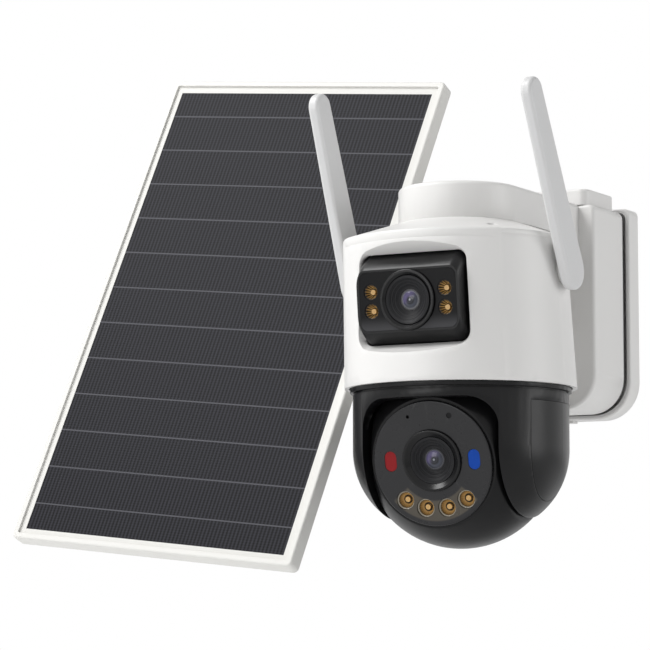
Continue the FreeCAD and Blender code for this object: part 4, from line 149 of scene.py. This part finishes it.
def srgb(red, green, blue):
    """A colour given as 0-255 display values, as the shader wants it."""
    out = []
    for level in (red, green, blue):
        part = level / 255
        out.append(part / 12.92 if part <= 0.04045 else ((part + 0.055) / 1.055) ** 2.4)
    return tuple(out)


def moulded(name, colour, rough, grain=1500.0, depth=0.00003, shift=0.04, specular=0.5):
    """Injection-moulded plastic: fine spark texture, slow colour drift and uneven gloss."""
    n = Nodes(name)
    at = n.place()
    drift = n.noise(at, 18.0, 2.0)
    dark = tuple(c * (1 - shift) for c in colour)
    light = tuple(min(1.0, c * (1 + shift)) for c in colour)
    n.link(n.blend(drift, dark, light), n.shader.inputs["Base Color"])
    patches = n.noise(at, 60.0, 3.0)
    n.link(n.spread(patches, rough * 0.88, rough * 1.12), n.shader.inputs["Roughness"])
    n.bump(n.noise(at, grain, 2.0, 0.7), depth)
    n.set(Specular_IOR_Level=specular)
    return n.mat


def metal(name, colour, rough):
    """Bare metal with an uneven polish."""
    n = Nodes(name)
    at = n.place()
    n.link(n.spread(n.noise(at, 900.0, 2.0), rough * 0.7, rough * 1.4), n.shader.inputs["Roughness"])
    drift = n.noise(at, 40.0, 2.0)
    n.link(n.blend(drift, tuple(c * 0.9 for c in colour), colour), n.shader.inputs["Base Color"])
    n.set(Metallic=1.0)
    return n.mat


def millimetres(n, matrix):
    """The local X, Y and Z of a part in millimetres, as three sockets."""
    scale = n.add("ShaderNodeVectorMath", operation="SCALE")
    n.link(n.place(matrix), scale.inputs[0])
    scale.inputs["Scale"].default_value = 1 / MM
    parts = n.add("ShaderNodeSeparateXYZ")
    n.link(scale.outputs[0], parts.inputs[0])
    return parts.outputs[0], parts.outputs[1], parts.outputs[2]


def radius_of(n, across, up, middle=(0.0, 0.0)):
    """Distance from a local point in the X-Z plane, in millimetres."""
    side = n.math("SUBTRACT", across, middle[0])
    rise = n.math("SUBTRACT", up, middle[1])
    square = n.math("ADD", n.math("MULTIPLY", side, side), n.math("MULTIPLY", rise, rise))
    return n.math("SQRT", square)


def ramp(n, value, reach, stops):
    """A colour ramp over 0..reach; each stop is (place, colour)."""
    node = n.add("ShaderNodeValToRGB")
    n.link(n.math("DIVIDE", value, reach), node.inputs[0])
    points = node.color_ramp.elements
    while len(points) < len(stops):
        points.new(0.5)
    for point, (place, colour) in zip(points, stops):
        point.position = place / reach
        point.color = tuple(colour) + (1.0,)
    return node.outputs[0]


def between(n, value, low, high, soft):
    """1 between two limits and 0 outside, with soft edges."""
    rise = n.add("ShaderNodeMapRange", interpolation_type="SMOOTHSTEP")
    rise.inputs["From Min"].default_value = low - soft
    rise.inputs["From Max"].default_value = low + soft
    fall = n.add("ShaderNodeMapRange", interpolation_type="SMOOTHSTEP")
    fall.inputs["From Min"].default_value = high - soft
    fall.inputs["From Max"].default_value = high + soft
    fall.inputs["To Min"].default_value = 1.0
    fall.inputs["To Max"].default_value = 0.0
    n.link(value, rise.inputs["Value"])
    n.link(value, fall.inputs["Value"])
    return n.math("MULTIPLY", rise.outputs[0], fall.outputs[0])


def solar_cells():
    """Dark cells with fine wires, cross lines between the cells and a white margin."""
    n = Nodes("solar_cells")
    across, _, up = millimetres(n, PANEL)
    wire = n.math("SINE", n.math("MULTIPLY", across, 2 * math.pi / WIRE_PITCH))
    weave = n.math("SINE", n.math("MULTIPLY", up, 2 * math.pi / WEAVE_PITCH))
    level = n.math("ADD", n.math("MULTIPLY", wire, 0.5), n.math("MULTIPLY", weave, 0.16))
    level = n.math("ADD", level, 0.5)
    speck = n.noise(n.place(PANEL), 900.0, 2.0)
    level = n.math("ADD", level, n.math("MULTIPLY", n.math("SUBTRACT", speck, 0.5), 0.3))
    cells = n.blend(level, srgb(10, 10, 12), srgb(46, 46, 52))
    rows = n.math("DIVIDE", n.math("ADD", up, CELL_LOW - CELL_EDGE_ROW + CELL_PITCH * 20.5), CELL_PITCH)
    row = n.math("FRACT", rows)
    line = between(n, row, 0.5 - CELL_LINE, 0.5 + CELL_LINE, CELL_LINE / 2)
    cells = n.blend(line, cells, srgb(84, 84, 89))
    inside = n.math("MULTIPLY", between(n, across, -CELL_HALF_WIDE, CELL_HALF_WIDE, 0.08),
                    between(n, up, -CELL_LOW, CELL_TOP, 0.08))
    n.link(n.blend(inside, srgb(224, 223, 219), cells), n.shader.inputs["Base Color"])
    n.link(n.spread(inside, 0.5, 0.45), n.shader.inputs["Roughness"])
    n.bump(level, 0.00004)
    n.set(Specular_IOR_Level=0.06)
    return n.mat


def painted_lens_reflections(name, matrix, middle, radius):
    """Coated front glass with painted reflections: dark and paler rings round a painted pale highlight
    in the middle, and a painted violet sheen towards the upper left.
    """
    n = Nodes(name)
    across, _, up = millimetres(n, matrix)
    reach = radius_of(n, across, up, middle)
    share = radius / UPPER_GLASS
    # The rings are painted reflections of the lens elements inside, with a painted highlight in the
    # middle.
    rings = ramp(n, reach, radius, [(place * share, colour) for place, colour in PAINTED_GLASS_RINGS])
    rise = n.math("SUBTRACT", up, middle[1])
    slant = n.math("ADD", n.math("MULTIPLY", across, -0.5), n.math("MULTIPLY", rise, 0.6))
    # Painted violet sheen towards the upper left of the glass.
    sheen_mask = n.math("MULTIPLY", between(n, slant, 0.6 * share, 9.0, 1.6 * share),
                  between(n, reach, 1.6 * share, 4.4 * share, 0.5))
    painted_sheen = n.math("MULTIPLY", sheen_mask, 0.6)
    n.link(n.blend(painted_sheen, rings, srgb(104, 92, 138)), n.shader.inputs["Base Color"])
    n.link(n.spread(n.noise(n.place(), 400.0), 0.1, 0.16), n.shader.inputs["Roughness"])
    n.set(Specular_IOR_Level=0.3, Coat_Weight=0.12, Coat_Roughness=0.08)
    return n.mat


def threaded(name, matrix, middle, colour, pitch):
    """Matt black lens mount with fine anti-glare threads round its axis."""
    n = Nodes(name)
    across, _, up = millimetres(n, matrix)
    reach = radius_of(n, across, up, middle)
    groove = n.math("SINE", n.math("MULTIPLY", reach, 2 * math.pi / pitch))
    n.link(n.blend(n.noise(n.place(), 300.0), tuple(c * 0.85 for c in colour), colour),
           n.shader.inputs["Base Color"])
    n.link(n.spread(n.noise(n.place(), 500.0), 0.38, 0.5), n.shader.inputs["Roughness"])
    n.bump(groove, 0.00006)
    n.set(Specular_IOR_Level=0.22)
    return n.mat


def lamp_board(name, matrix, front):
    """Green board whose raised lamps are amber."""
    n = Nodes(name)
    _, depth, _ = millimetres(n, matrix)
    at = n.place()
    green = n.blend(n.noise(at, 600.0), srgb(18, 70, 42), srgb(30, 96, 60))
    lamp = n.math("LESS_THAN", depth, front)
    n.link(n.blend(lamp, green, srgb(214, 172, 104)), n.shader.inputs["Base Color"])
    n.link(n.spread(n.noise(at, 900.0), 0.25, 0.4), n.shader.inputs["Roughness"])
    n.bump(n.noise(at, 1200.0), 0.00003)
    return n.mat


def face_black():
    """Glossy black plate with a smoked band round the lamps."""
    n = Nodes("face_black")
    across, _, up = millimetres(n, EYE)
    reach = radius_of(n, across, up)
    angle = n.math("ARCTAN2", across, n.math("MULTIPLY", up, -1.0))
    band = n.math("MULTIPLY", between(n, reach, SMOKED_INNER, SMOKED_OUTER, 0.5),
                  between(n, angle, -SMOKED_TURN, SMOKED_TURN, 0.03))
    drift = n.noise(n.place(), 25.0, 2.0)
    black = n.blend(drift, srgb(24, 24, 26), srgb(30, 30, 32))
    smoked = n.math("MULTIPLY", band, 0.8)
    n.link(n.blend(smoked, black, srgb(78, 72, 62)), n.shader.inputs["Base Color"])
    n.link(n.spread(n.noise(n.place(), 80.0), 0.24, 0.32), n.shader.inputs["Roughness"])
    n.bump(n.noise(n.place(), 2500.0), 0.00001)
    n.set(Specular_IOR_Level=0.35)
    return n.mat


def drum_face():
    """Glossy black front of the upper drum, with a painted highlight that makes it paler towards its
    lower edge.
    """
    n = Nodes("drum_face")
    _, _, up = millimetres(n, DRUM)
    painted_highlight = n.add("ShaderNodeMapRange", interpolation_type="SMOOTHSTEP")
    painted_highlight.inputs["From Min"].default_value = PAINTED_HIGHLIGHT_START
    painted_highlight.inputs["From Max"].default_value = PAINTED_HIGHLIGHT_END
    n.link(up, painted_highlight.inputs["Value"])
    drift = n.noise(n.place(), 40.0, 2.0)
    black = n.blend(drift, srgb(13, 13, 14), srgb(19, 19, 20))
    # Painted highlight: the face is drawn paler towards its lower edge, in place of the light its curve
    # would catch there.
    n.link(n.blend(painted_highlight.outputs[0], black, srgb(62, 62, 64)), n.shader.inputs["Base Color"])
    n.link(n.spread(n.noise(n.place(), 80.0), 0.3, 0.38), n.shader.inputs["Roughness"])
    n.bump(n.noise(n.place(), 2500.0), 0.00001)
    n.set(Specular_IOR_Level=0.1)
    return n.mat


# All in millimetres, in the part's own frame, unless a comment says otherwise.
WIRE_PITCH = 2.4
WEAVE_PITCH = 1.5
CELL_PITCH = 23.5
CELL_EDGE_ROW = 16.3
CELL_LINE = 0.016        # half the line between two rows, as a share of a row
CELL_HALF_WIDE = 87.8
CELL_TOP = 145.2
CELL_LOW = 146.3
UPPER_GLASS = 5.6
LOWER_GLASS = 5.8
LOWER_LENS_UP = 1.6
THREAD_PITCH = 0.55
UPPER_LAMP_FRONT = -15.4
LOWER_LAMP_FRONT = -36.0
SMOKED_INNER = 19.6
SMOKED_OUTER = 30.4
SMOKED_TURN = 0.88       # half the smoked band's angle, in radians
# Where the painted highlight on the drum's face starts and where it is full, in millimetres up the
# drum.
PAINTED_HIGHLIGHT_START = -7.0
PAINTED_HIGHLIGHT_END = -15.5
# Painted reflections in the front glass, by radius in millimetres: a pale painted highlight in the
# middle, then dark and paler rings.
PAINTED_GLASS_RINGS = [(0.0, srgb(176, 178, 184)), (0.45, srgb(120, 122, 130)), (0.8, srgb(24, 25, 30)),
               (1.5, srgb(46, 48, 56)), (2.1, srgb(22, 23, 29)), (3.0, srgb(66, 70, 82)),
               (4.3, srgb(52, 54, 64)), (4.7, srgb(72, 73, 80)), (5.1, srgb(22, 22, 26))]

WHITE = moulded("white_shell", srgb(226, 225, 223), 0.42, shift=0.012)
WHITE_FRAME = moulded("white_frame", srgb(224, 223, 219), 0.5, shift=0.01, specular=0.25)
GREY = moulded("grey_antenna", srgb(212, 212, 212), 0.4, shift=0.012)
SEAL = moulded("grey_seal", srgb(98, 98, 100), 0.7, grain=2500.0, shift=0.04)
BLACK = moulded("black_shell", srgb(18, 18, 19), 0.32, shift=0.1, specular=0.22)
BLACK_BALL = moulded("black_ball", srgb(15, 15, 16), 0.3, shift=0.1, specular=0.2)
INNER = moulded("black_inner", srgb(14, 14, 15), 0.6, shift=0.1, specular=0.2)
GLOSS = moulded("black_gloss", srgb(16, 16, 17), 0.24, grain=3000.0, depth=0.00001, shift=0.05,
                specular=0.25)
RUBBER = moulded("black_rubber", srgb(24, 24, 26), 0.75, grain=3500.0, depth=0.00005, specular=0.3)
STEEL = metal("steel", srgb(178, 178, 180), 0.3)
GEAR = moulded("gear_plastic", srgb(222, 219, 208), 0.5)
LENS_BLACK = moulded("lens_black", srgb(15, 15, 16), 0.28, grain=2500.0, shift=0.06, specular=0.2)
CELL_WRAP = moulded("cell_wrap", srgb(46, 120, 170), 0.35)
BOARD = moulded("circuit_board", srgb(26, 86, 52), 0.4, grain=600.0, depth=0.0001, shift=0.2)
GOLD = metal("gold", srgb(205, 158, 92), 0.25)
RED = moulded("red_lens", srgb(132, 28, 31), 0.3, grain=2500.0, specular=0.12)
BLUE = moulded("blue_lens", srgb(14, 66, 158), 0.3, grain=2500.0, specular=0.12)

FINISH = {
    "white_shell": WHITE, "white_bracket": WHITE_FRAME, "grey_antenna": GREY, "grey_seal": SEAL,
    "black_shell": BLACK, "black_inner": INNER, "black_gloss": GLOSS, "black_rubber": RUBBER,
    "steel": STEEL, "gear_plastic": GEAR, "lens_black": LENS_BLACK, "cell_wrap": CELL_WRAP,
    "board": BOARD, "gold_reflector": GOLD, "lens_glass": GLOSS, "red_lens": RED,
    "blue_lens": BLUE, "panel_cells": GLOSS,
}
SPECIAL = {
    "eyeball_front_shell": BLACK_BALL, "eyeball_rear_shell": BLACK_BALL,
    "panel_laminate": solar_cells(),
    "upper_lens_glass": painted_lens_reflections("upper_glass", DRUM, (0.0, 0.0), UPPER_GLASS),
    "lower_lens_glass": painted_lens_reflections("lower_glass", EYE, (0.0, LOWER_LENS_UP), LOWER_GLASS),
    "upper_lens_barrel": threaded("upper_thread", DRUM, (0.0, 0.0), srgb(30, 30, 32), THREAD_PITCH),
    "lower_lens_barrel": threaded("lower_thread", EYE, (0.0, LOWER_LENS_UP), srgb(34, 34, 36),
                                  THREAD_PITCH),
    "upper_boards": lamp_board("upper_board", DRUM, UPPER_LAMP_FRONT),
    "lower_boards": lamp_board("lower_board", EYE, LOWER_LAMP_FRONT),
    "face_plate": face_black(),
    "upper_face_panel": drum_face(),
}
for entry in frame["record"]["subparts"]:
    name = entry["node"]
    for slot in nodes[name].material_slots:
        slot.material = SPECIAL.get(name, FINISH[entry["material_slot"]])


# ---------------------------------------------------------------- softened edges

JOIN_REACH = 0.001       # millimetres between corners that the CAD mesh holds twice
SHARP_ANGLE = math.radians(40)
SOFTENED = {"head_shell": 0.35, "head_top_cap": 0.35, "arm_shell": 0.3, "battery_housing": 0.3,
            "wall_plate": 0.4, "panel_frame": 0.15, "yoke_shell": 0.25,
            "upper_lens_drum": 0.5, "face_plate": 0.3, "eyeball_front_shell": 0.3}
for name, width in SOFTENED.items():
    nodes[name].modifiers.new("joined", "WELD").merge_threshold = JOIN_REACH * MM
    edge = nodes[name].modifiers.new("soft_edge", "BEVEL")
    edge.width = width * MM
    edge.segments = 2
    edge.limit_method = "ANGLE"
    edge.angle_limit = SHARP_ANGLE
    edge.use_clamp_overlap = True
    edge.harden_normals = True


# ---------------------------------------------------------------- lamps' bowls

def lathe(name, matrix, profile, rippled, spots):
    """Turn a closed outline of (radius, depth) points about the part's Y axis at each spot.

    The points whose numbers are in rippled go in and out by the ripple, once a rib."""
    mesh = bmesh.new()
    for across, up in spots:
        rings = []
        for number in range(BOWL_STEPS):
            angle = 2 * math.pi * number / BOWL_STEPS
            wave = BOWL_RIPPLE * math.cos(angle * BOWL_RIBS)
            ring = []
            for index, (radius, depth) in enumerate(profile):
                reach = radius + (wave if index in rippled else 0.0)
                point = Vector((across + reach * math.cos(angle), depth, up + reach * math.sin(angle)))
                ring.append(mesh.verts.new(matrix @ (point * MM)))
            rings.append(ring)
        for number in range(BOWL_STEPS):
            here, after = rings[number], rings[(number + 1) % BOWL_STEPS]
            for index in range(len(profile)):
                follow = (index + 1) % len(profile)
                mesh.faces.new((here[index], here[follow], after[follow], after[index]))
    bmesh.ops.recalc_face_normals(mesh, faces=mesh.faces)
    data = bpy.data.meshes.new(name)
    mesh.to_mesh(data)
    mesh.free()
    for face in data.polygons:
        face.use_smooth = True
    piece = bpy.data.objects.new(name, data)
    bpy.context.collection.objects.link(piece)
    return piece


def lamp_gold(name, matrix, spots, fold_up, stops, ribbed):
    """Gilt bowls whose colour depends on the distance to the nearest lamp: rings of brighter and darker
    gold that are partly the gold's own colour and partly painted reflection.

    The lamps stand in mirrored pairs, so only those on the positive side are given."""
    n = Nodes(name)
    across, _, up = millimetres(n, matrix)
    across = n.math("ABSOLUTE", across)
    if fold_up:
        up = n.math("ABSOLUTE", up)
    reach = radius_of(n, across, up, spots[0])
    for spot in spots[1:]:
        reach = n.math("MINIMUM", reach, radius_of(n, across, up, spot))
    colour = ramp(n, reach, stops[-1][0], stops)
    # Painted shade: dark rays across a ribbed bowl.
    if ribbed:
        side = n.math("SUBTRACT", across, spots[0][0])
        rise = n.math("SUBTRACT", up, spots[0][1])
        turned = n.math("MULTIPLY", n.math("ARCTAN2", rise, side), BOWL_PAINTED_RAYS)
        painted_rays_mask = between(n, n.math("SINE", turned), 0.0, 3.0, 0.5)
        colour = n.blend(painted_rays_mask, srgb(12, 11, 10), colour)
    n.link(colour, n.shader.inputs["Base Color"])
    n.link(n.spread(n.noise(n.place(), 1500.0), 0.26, 0.4), n.shader.inputs["Roughness"])
    n.bump(n.noise(n.place(), 2500.0), 0.00001)
    n.set(Specular_IOR_Level=0.4)
    return n.mat


def reflectors(name, node, matrix, body, spots, outer, front, floor, look):
    """Ribbed bowls in their places, one piece for a row of lamps."""
    inner = outer - BOWL_LIP
    profile = [(BOWL_HOLE, floor + BOWL_BASE), (BOWL_HOLE, floor),
               (BOWL_HOLE + (inner - BOWL_HOLE) * 0.3, floor - 0.25),
               (outer - 0.75, front + 1.1), (inner, front + 0.15), (outer, front),
               (outer, floor + BOWL_BASE)]
    piece = lathe(name, matrix, profile, (2, 3), spots)
    piece.data.materials.append(look)
    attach(piece, body)
    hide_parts(node)


BOWL_STEPS = 120         # corners of a bowl's round
BOWL_RIBS = 20
BOWL_PAINTED_RAYS = 14.0         # painted shade across an upper bowl, in dark rays along its ribs
BOWL_RIPPLE = 0.16
BOWL_HOLE = 1.6
BOWL_LIP = 0.3
BOWL_BASE = 0.8          # the floor's thickness
UPPER_LAMP = (21.6, 5.0)
UPPER_BOWL = 3.9
LOWER_BOWL = 4.8
OUTER_LAMP_REACH = 25.7
OUTER_LAMP_TURN = math.radians(41.7)     # from straight down, as seen from the front
INNER_LAMP_REACH = 24.2
INNER_LAMP_TURN = math.radians(14.4)
UPPER_SPOTS = [(side * UPPER_LAMP[0], up * UPPER_LAMP[1]) for side in (-1, 1) for up in (-1, 1)]
LOWER_LAMPS = ((OUTER_LAMP_REACH, -OUTER_LAMP_TURN), (INNER_LAMP_REACH, -INNER_LAMP_TURN),
               (INNER_LAMP_REACH, INNER_LAMP_TURN), (OUTER_LAMP_REACH, OUTER_LAMP_TURN))
LOWER_SPOTS = [(math.sin(turn) * reach, -math.cos(turn) * reach) for reach, turn in LOWER_LAMPS]
# The bowls' rings of brighter and darker gold are partly the gold's own colour and partly painted
# reflection; the pale ring on the lower bowls' lip is a painted highlight.
UPPER_GOLD = lamp_gold("upper_gold", DRUM, [UPPER_LAMP], True,
                       [(0.0, srgb(150, 118, 70)), (1.7, srgb(96, 74, 44)),
                        (2.1, srgb(214, 176, 112)), (3.1, srgb(176, 138, 80)),
                        (3.6, srgb(96, 74, 44)), (UPPER_BOWL, srgb(34, 30, 26))], True)
LOWER_GOLD = lamp_gold("lower_gold", EYE, [(abs(x), z) for x, z in LOWER_SPOTS[2:]], False,
                       [(0.0, srgb(60, 56, 50)), (2.3, srgb(66, 60, 50)), (2.6, srgb(196, 158, 98)),
                        (3.6, srgb(150, 116, 66)), (4.15, srgb(70, 58, 40)), (4.3, srgb(176, 170, 156)),
                        (4.9, srgb(96, 92, 84))], False)
reflectors("upper_reflectors", "upper_led_reflectors", DRUM, "lens_drum", UPPER_SPOTS, UPPER_BOWL,
           DRUM_FACE + 0.5, DRUM_FACE + 3.8, UPPER_GOLD)
reflectors("lower_reflectors", "lower_led_reflectors", EYE, "eyeball", LOWER_SPOTS, LOWER_BOWL,
           EYE_FACE + 0.7, EYE_FACE + 4.6, LOWER_GOLD)


# ---------------------------------------------------------------- stage, light and camera

FLOOR_HALF = 9.0
FLOOR_UP = -0.3
floor_mesh = bpy.data.meshes.new("floor")
floor_mesh.from_pydata([(side * FLOOR_HALF, depth * FLOOR_HALF, FLOOR_UP)
                        for side, depth in ((-1, -1), (1, -1), (1, 1), (-1, 1))], [], [(0, 1, 2, 3)])
floor = bpy.data.objects.new("floor", floor_mesh)
bpy.context.collection.objects.link(floor)
floor_look = Nodes("floor")
floor_drift = floor_look.noise(floor_look.place(), 3.0)
floor_look.link(floor_look.blend(floor_drift, (0.78, 0.78, 0.78), (0.82, 0.82, 0.82)),
                floor_look.shader.inputs["Base Color"])
floor_look.shader.inputs["Emission Color"].default_value = (1.0, 1.0, 1.0, 1.0)
floor_look.set(Roughness=0.9, Emission_Strength=0.22)
floor_mesh.materials.append(floor_look.mat)


def studio_world():
    """White to the camera, in reflections and through glass, and a low even light elsewhere."""
    world = bpy.data.worlds.new("studio")
    world.use_nodes = True
    tree = world.node_tree

    def greater(first, second):
        node = tree.nodes.new("ShaderNodeMath")
        node.operation = "MAXIMUM"
        tree.links.new(first, node.inputs[0])
        tree.links.new(second, node.inputs[1])
        return node.outputs[0]

    low = tree.nodes["Background"]
    low.inputs["Color"].default_value = (0.97, 0.98, 1.0, 1.0)
    low.inputs["Strength"].default_value = 0.2
    white = tree.nodes.new("ShaderNodeBackground")
    white.inputs["Color"].default_value = (1.0, 1.0, 1.0, 1.0)
    white.inputs["Strength"].default_value = 1.0
    rays = tree.nodes.new("ShaderNodeLightPath").outputs
    seen = greater(greater(rays["Is Camera Ray"], rays["Is Transmission Ray"]), rays["Is Glossy Ray"])
    mixed = tree.nodes.new("ShaderNodeMixShader")
    tree.links.new(seen, mixed.inputs[0])
    tree.links.new(low.outputs[0], mixed.inputs[1])
    tree.links.new(white.outputs[0], mixed.inputs[2])
    tree.links.new(mixed.outputs[0], tree.nodes["World Output"].inputs["Surface"])
    return world


def area_light(name, spot, size, power):
    """A soft rectangular lamp that points at the head."""
    data = bpy.data.lights.new(name, "AREA")
    data.shape = "RECTANGLE"
    data.size, data.size_y = size
    data.energy = power
    lamp = bpy.data.objects.new(name, data)
    lamp.location = spot
    way = LAMP_TARGET - Vector(spot)
    lamp.rotation_euler = way.to_track_quat("-Z", "Y").to_euler()
    bpy.context.collection.objects.link(lamp)


scene = bpy.context.scene
scene.world = studio_world()
LAMP_TARGET = Vector((0.0, -0.12, 0.0))
area_light("key", (-1.2, -1.0, 1.7), (1.1, 1.1), 44.5)
area_light("front", (-0.5, -2.2, 0.3), (1.2, 1.0), 12)
area_light("rear", (1.8, 0.5, 0.3), (0.8, 1.4), 11)

CAMERA_PLACE = Vector((0.72464, -1.55623, -0.18687))
CAMERA_LENS = 166.15
ahead = Vector((-0.49113, 0.86454, 0.10661)).normalized()
level_turn = math.radians(29.6)
level_right = Vector((math.cos(level_turn), math.sin(level_turn), 0))
upward = level_right.cross(ahead).normalized()
right = ahead.cross(upward).normalized()
camera_data = bpy.data.cameras.new("camera")
camera_data.lens = CAMERA_LENS
camera_data.sensor_width = 36.0
camera = bpy.data.objects.new("camera", camera_data)
bpy.context.collection.objects.link(camera)
scene.camera = camera
camera.matrix_world = (Matrix.Translation(CAMERA_PLACE)
                       @ Matrix((right, upward, -ahead)).transposed().to_4x4())

scene.view_settings.view_transform = "Standard"
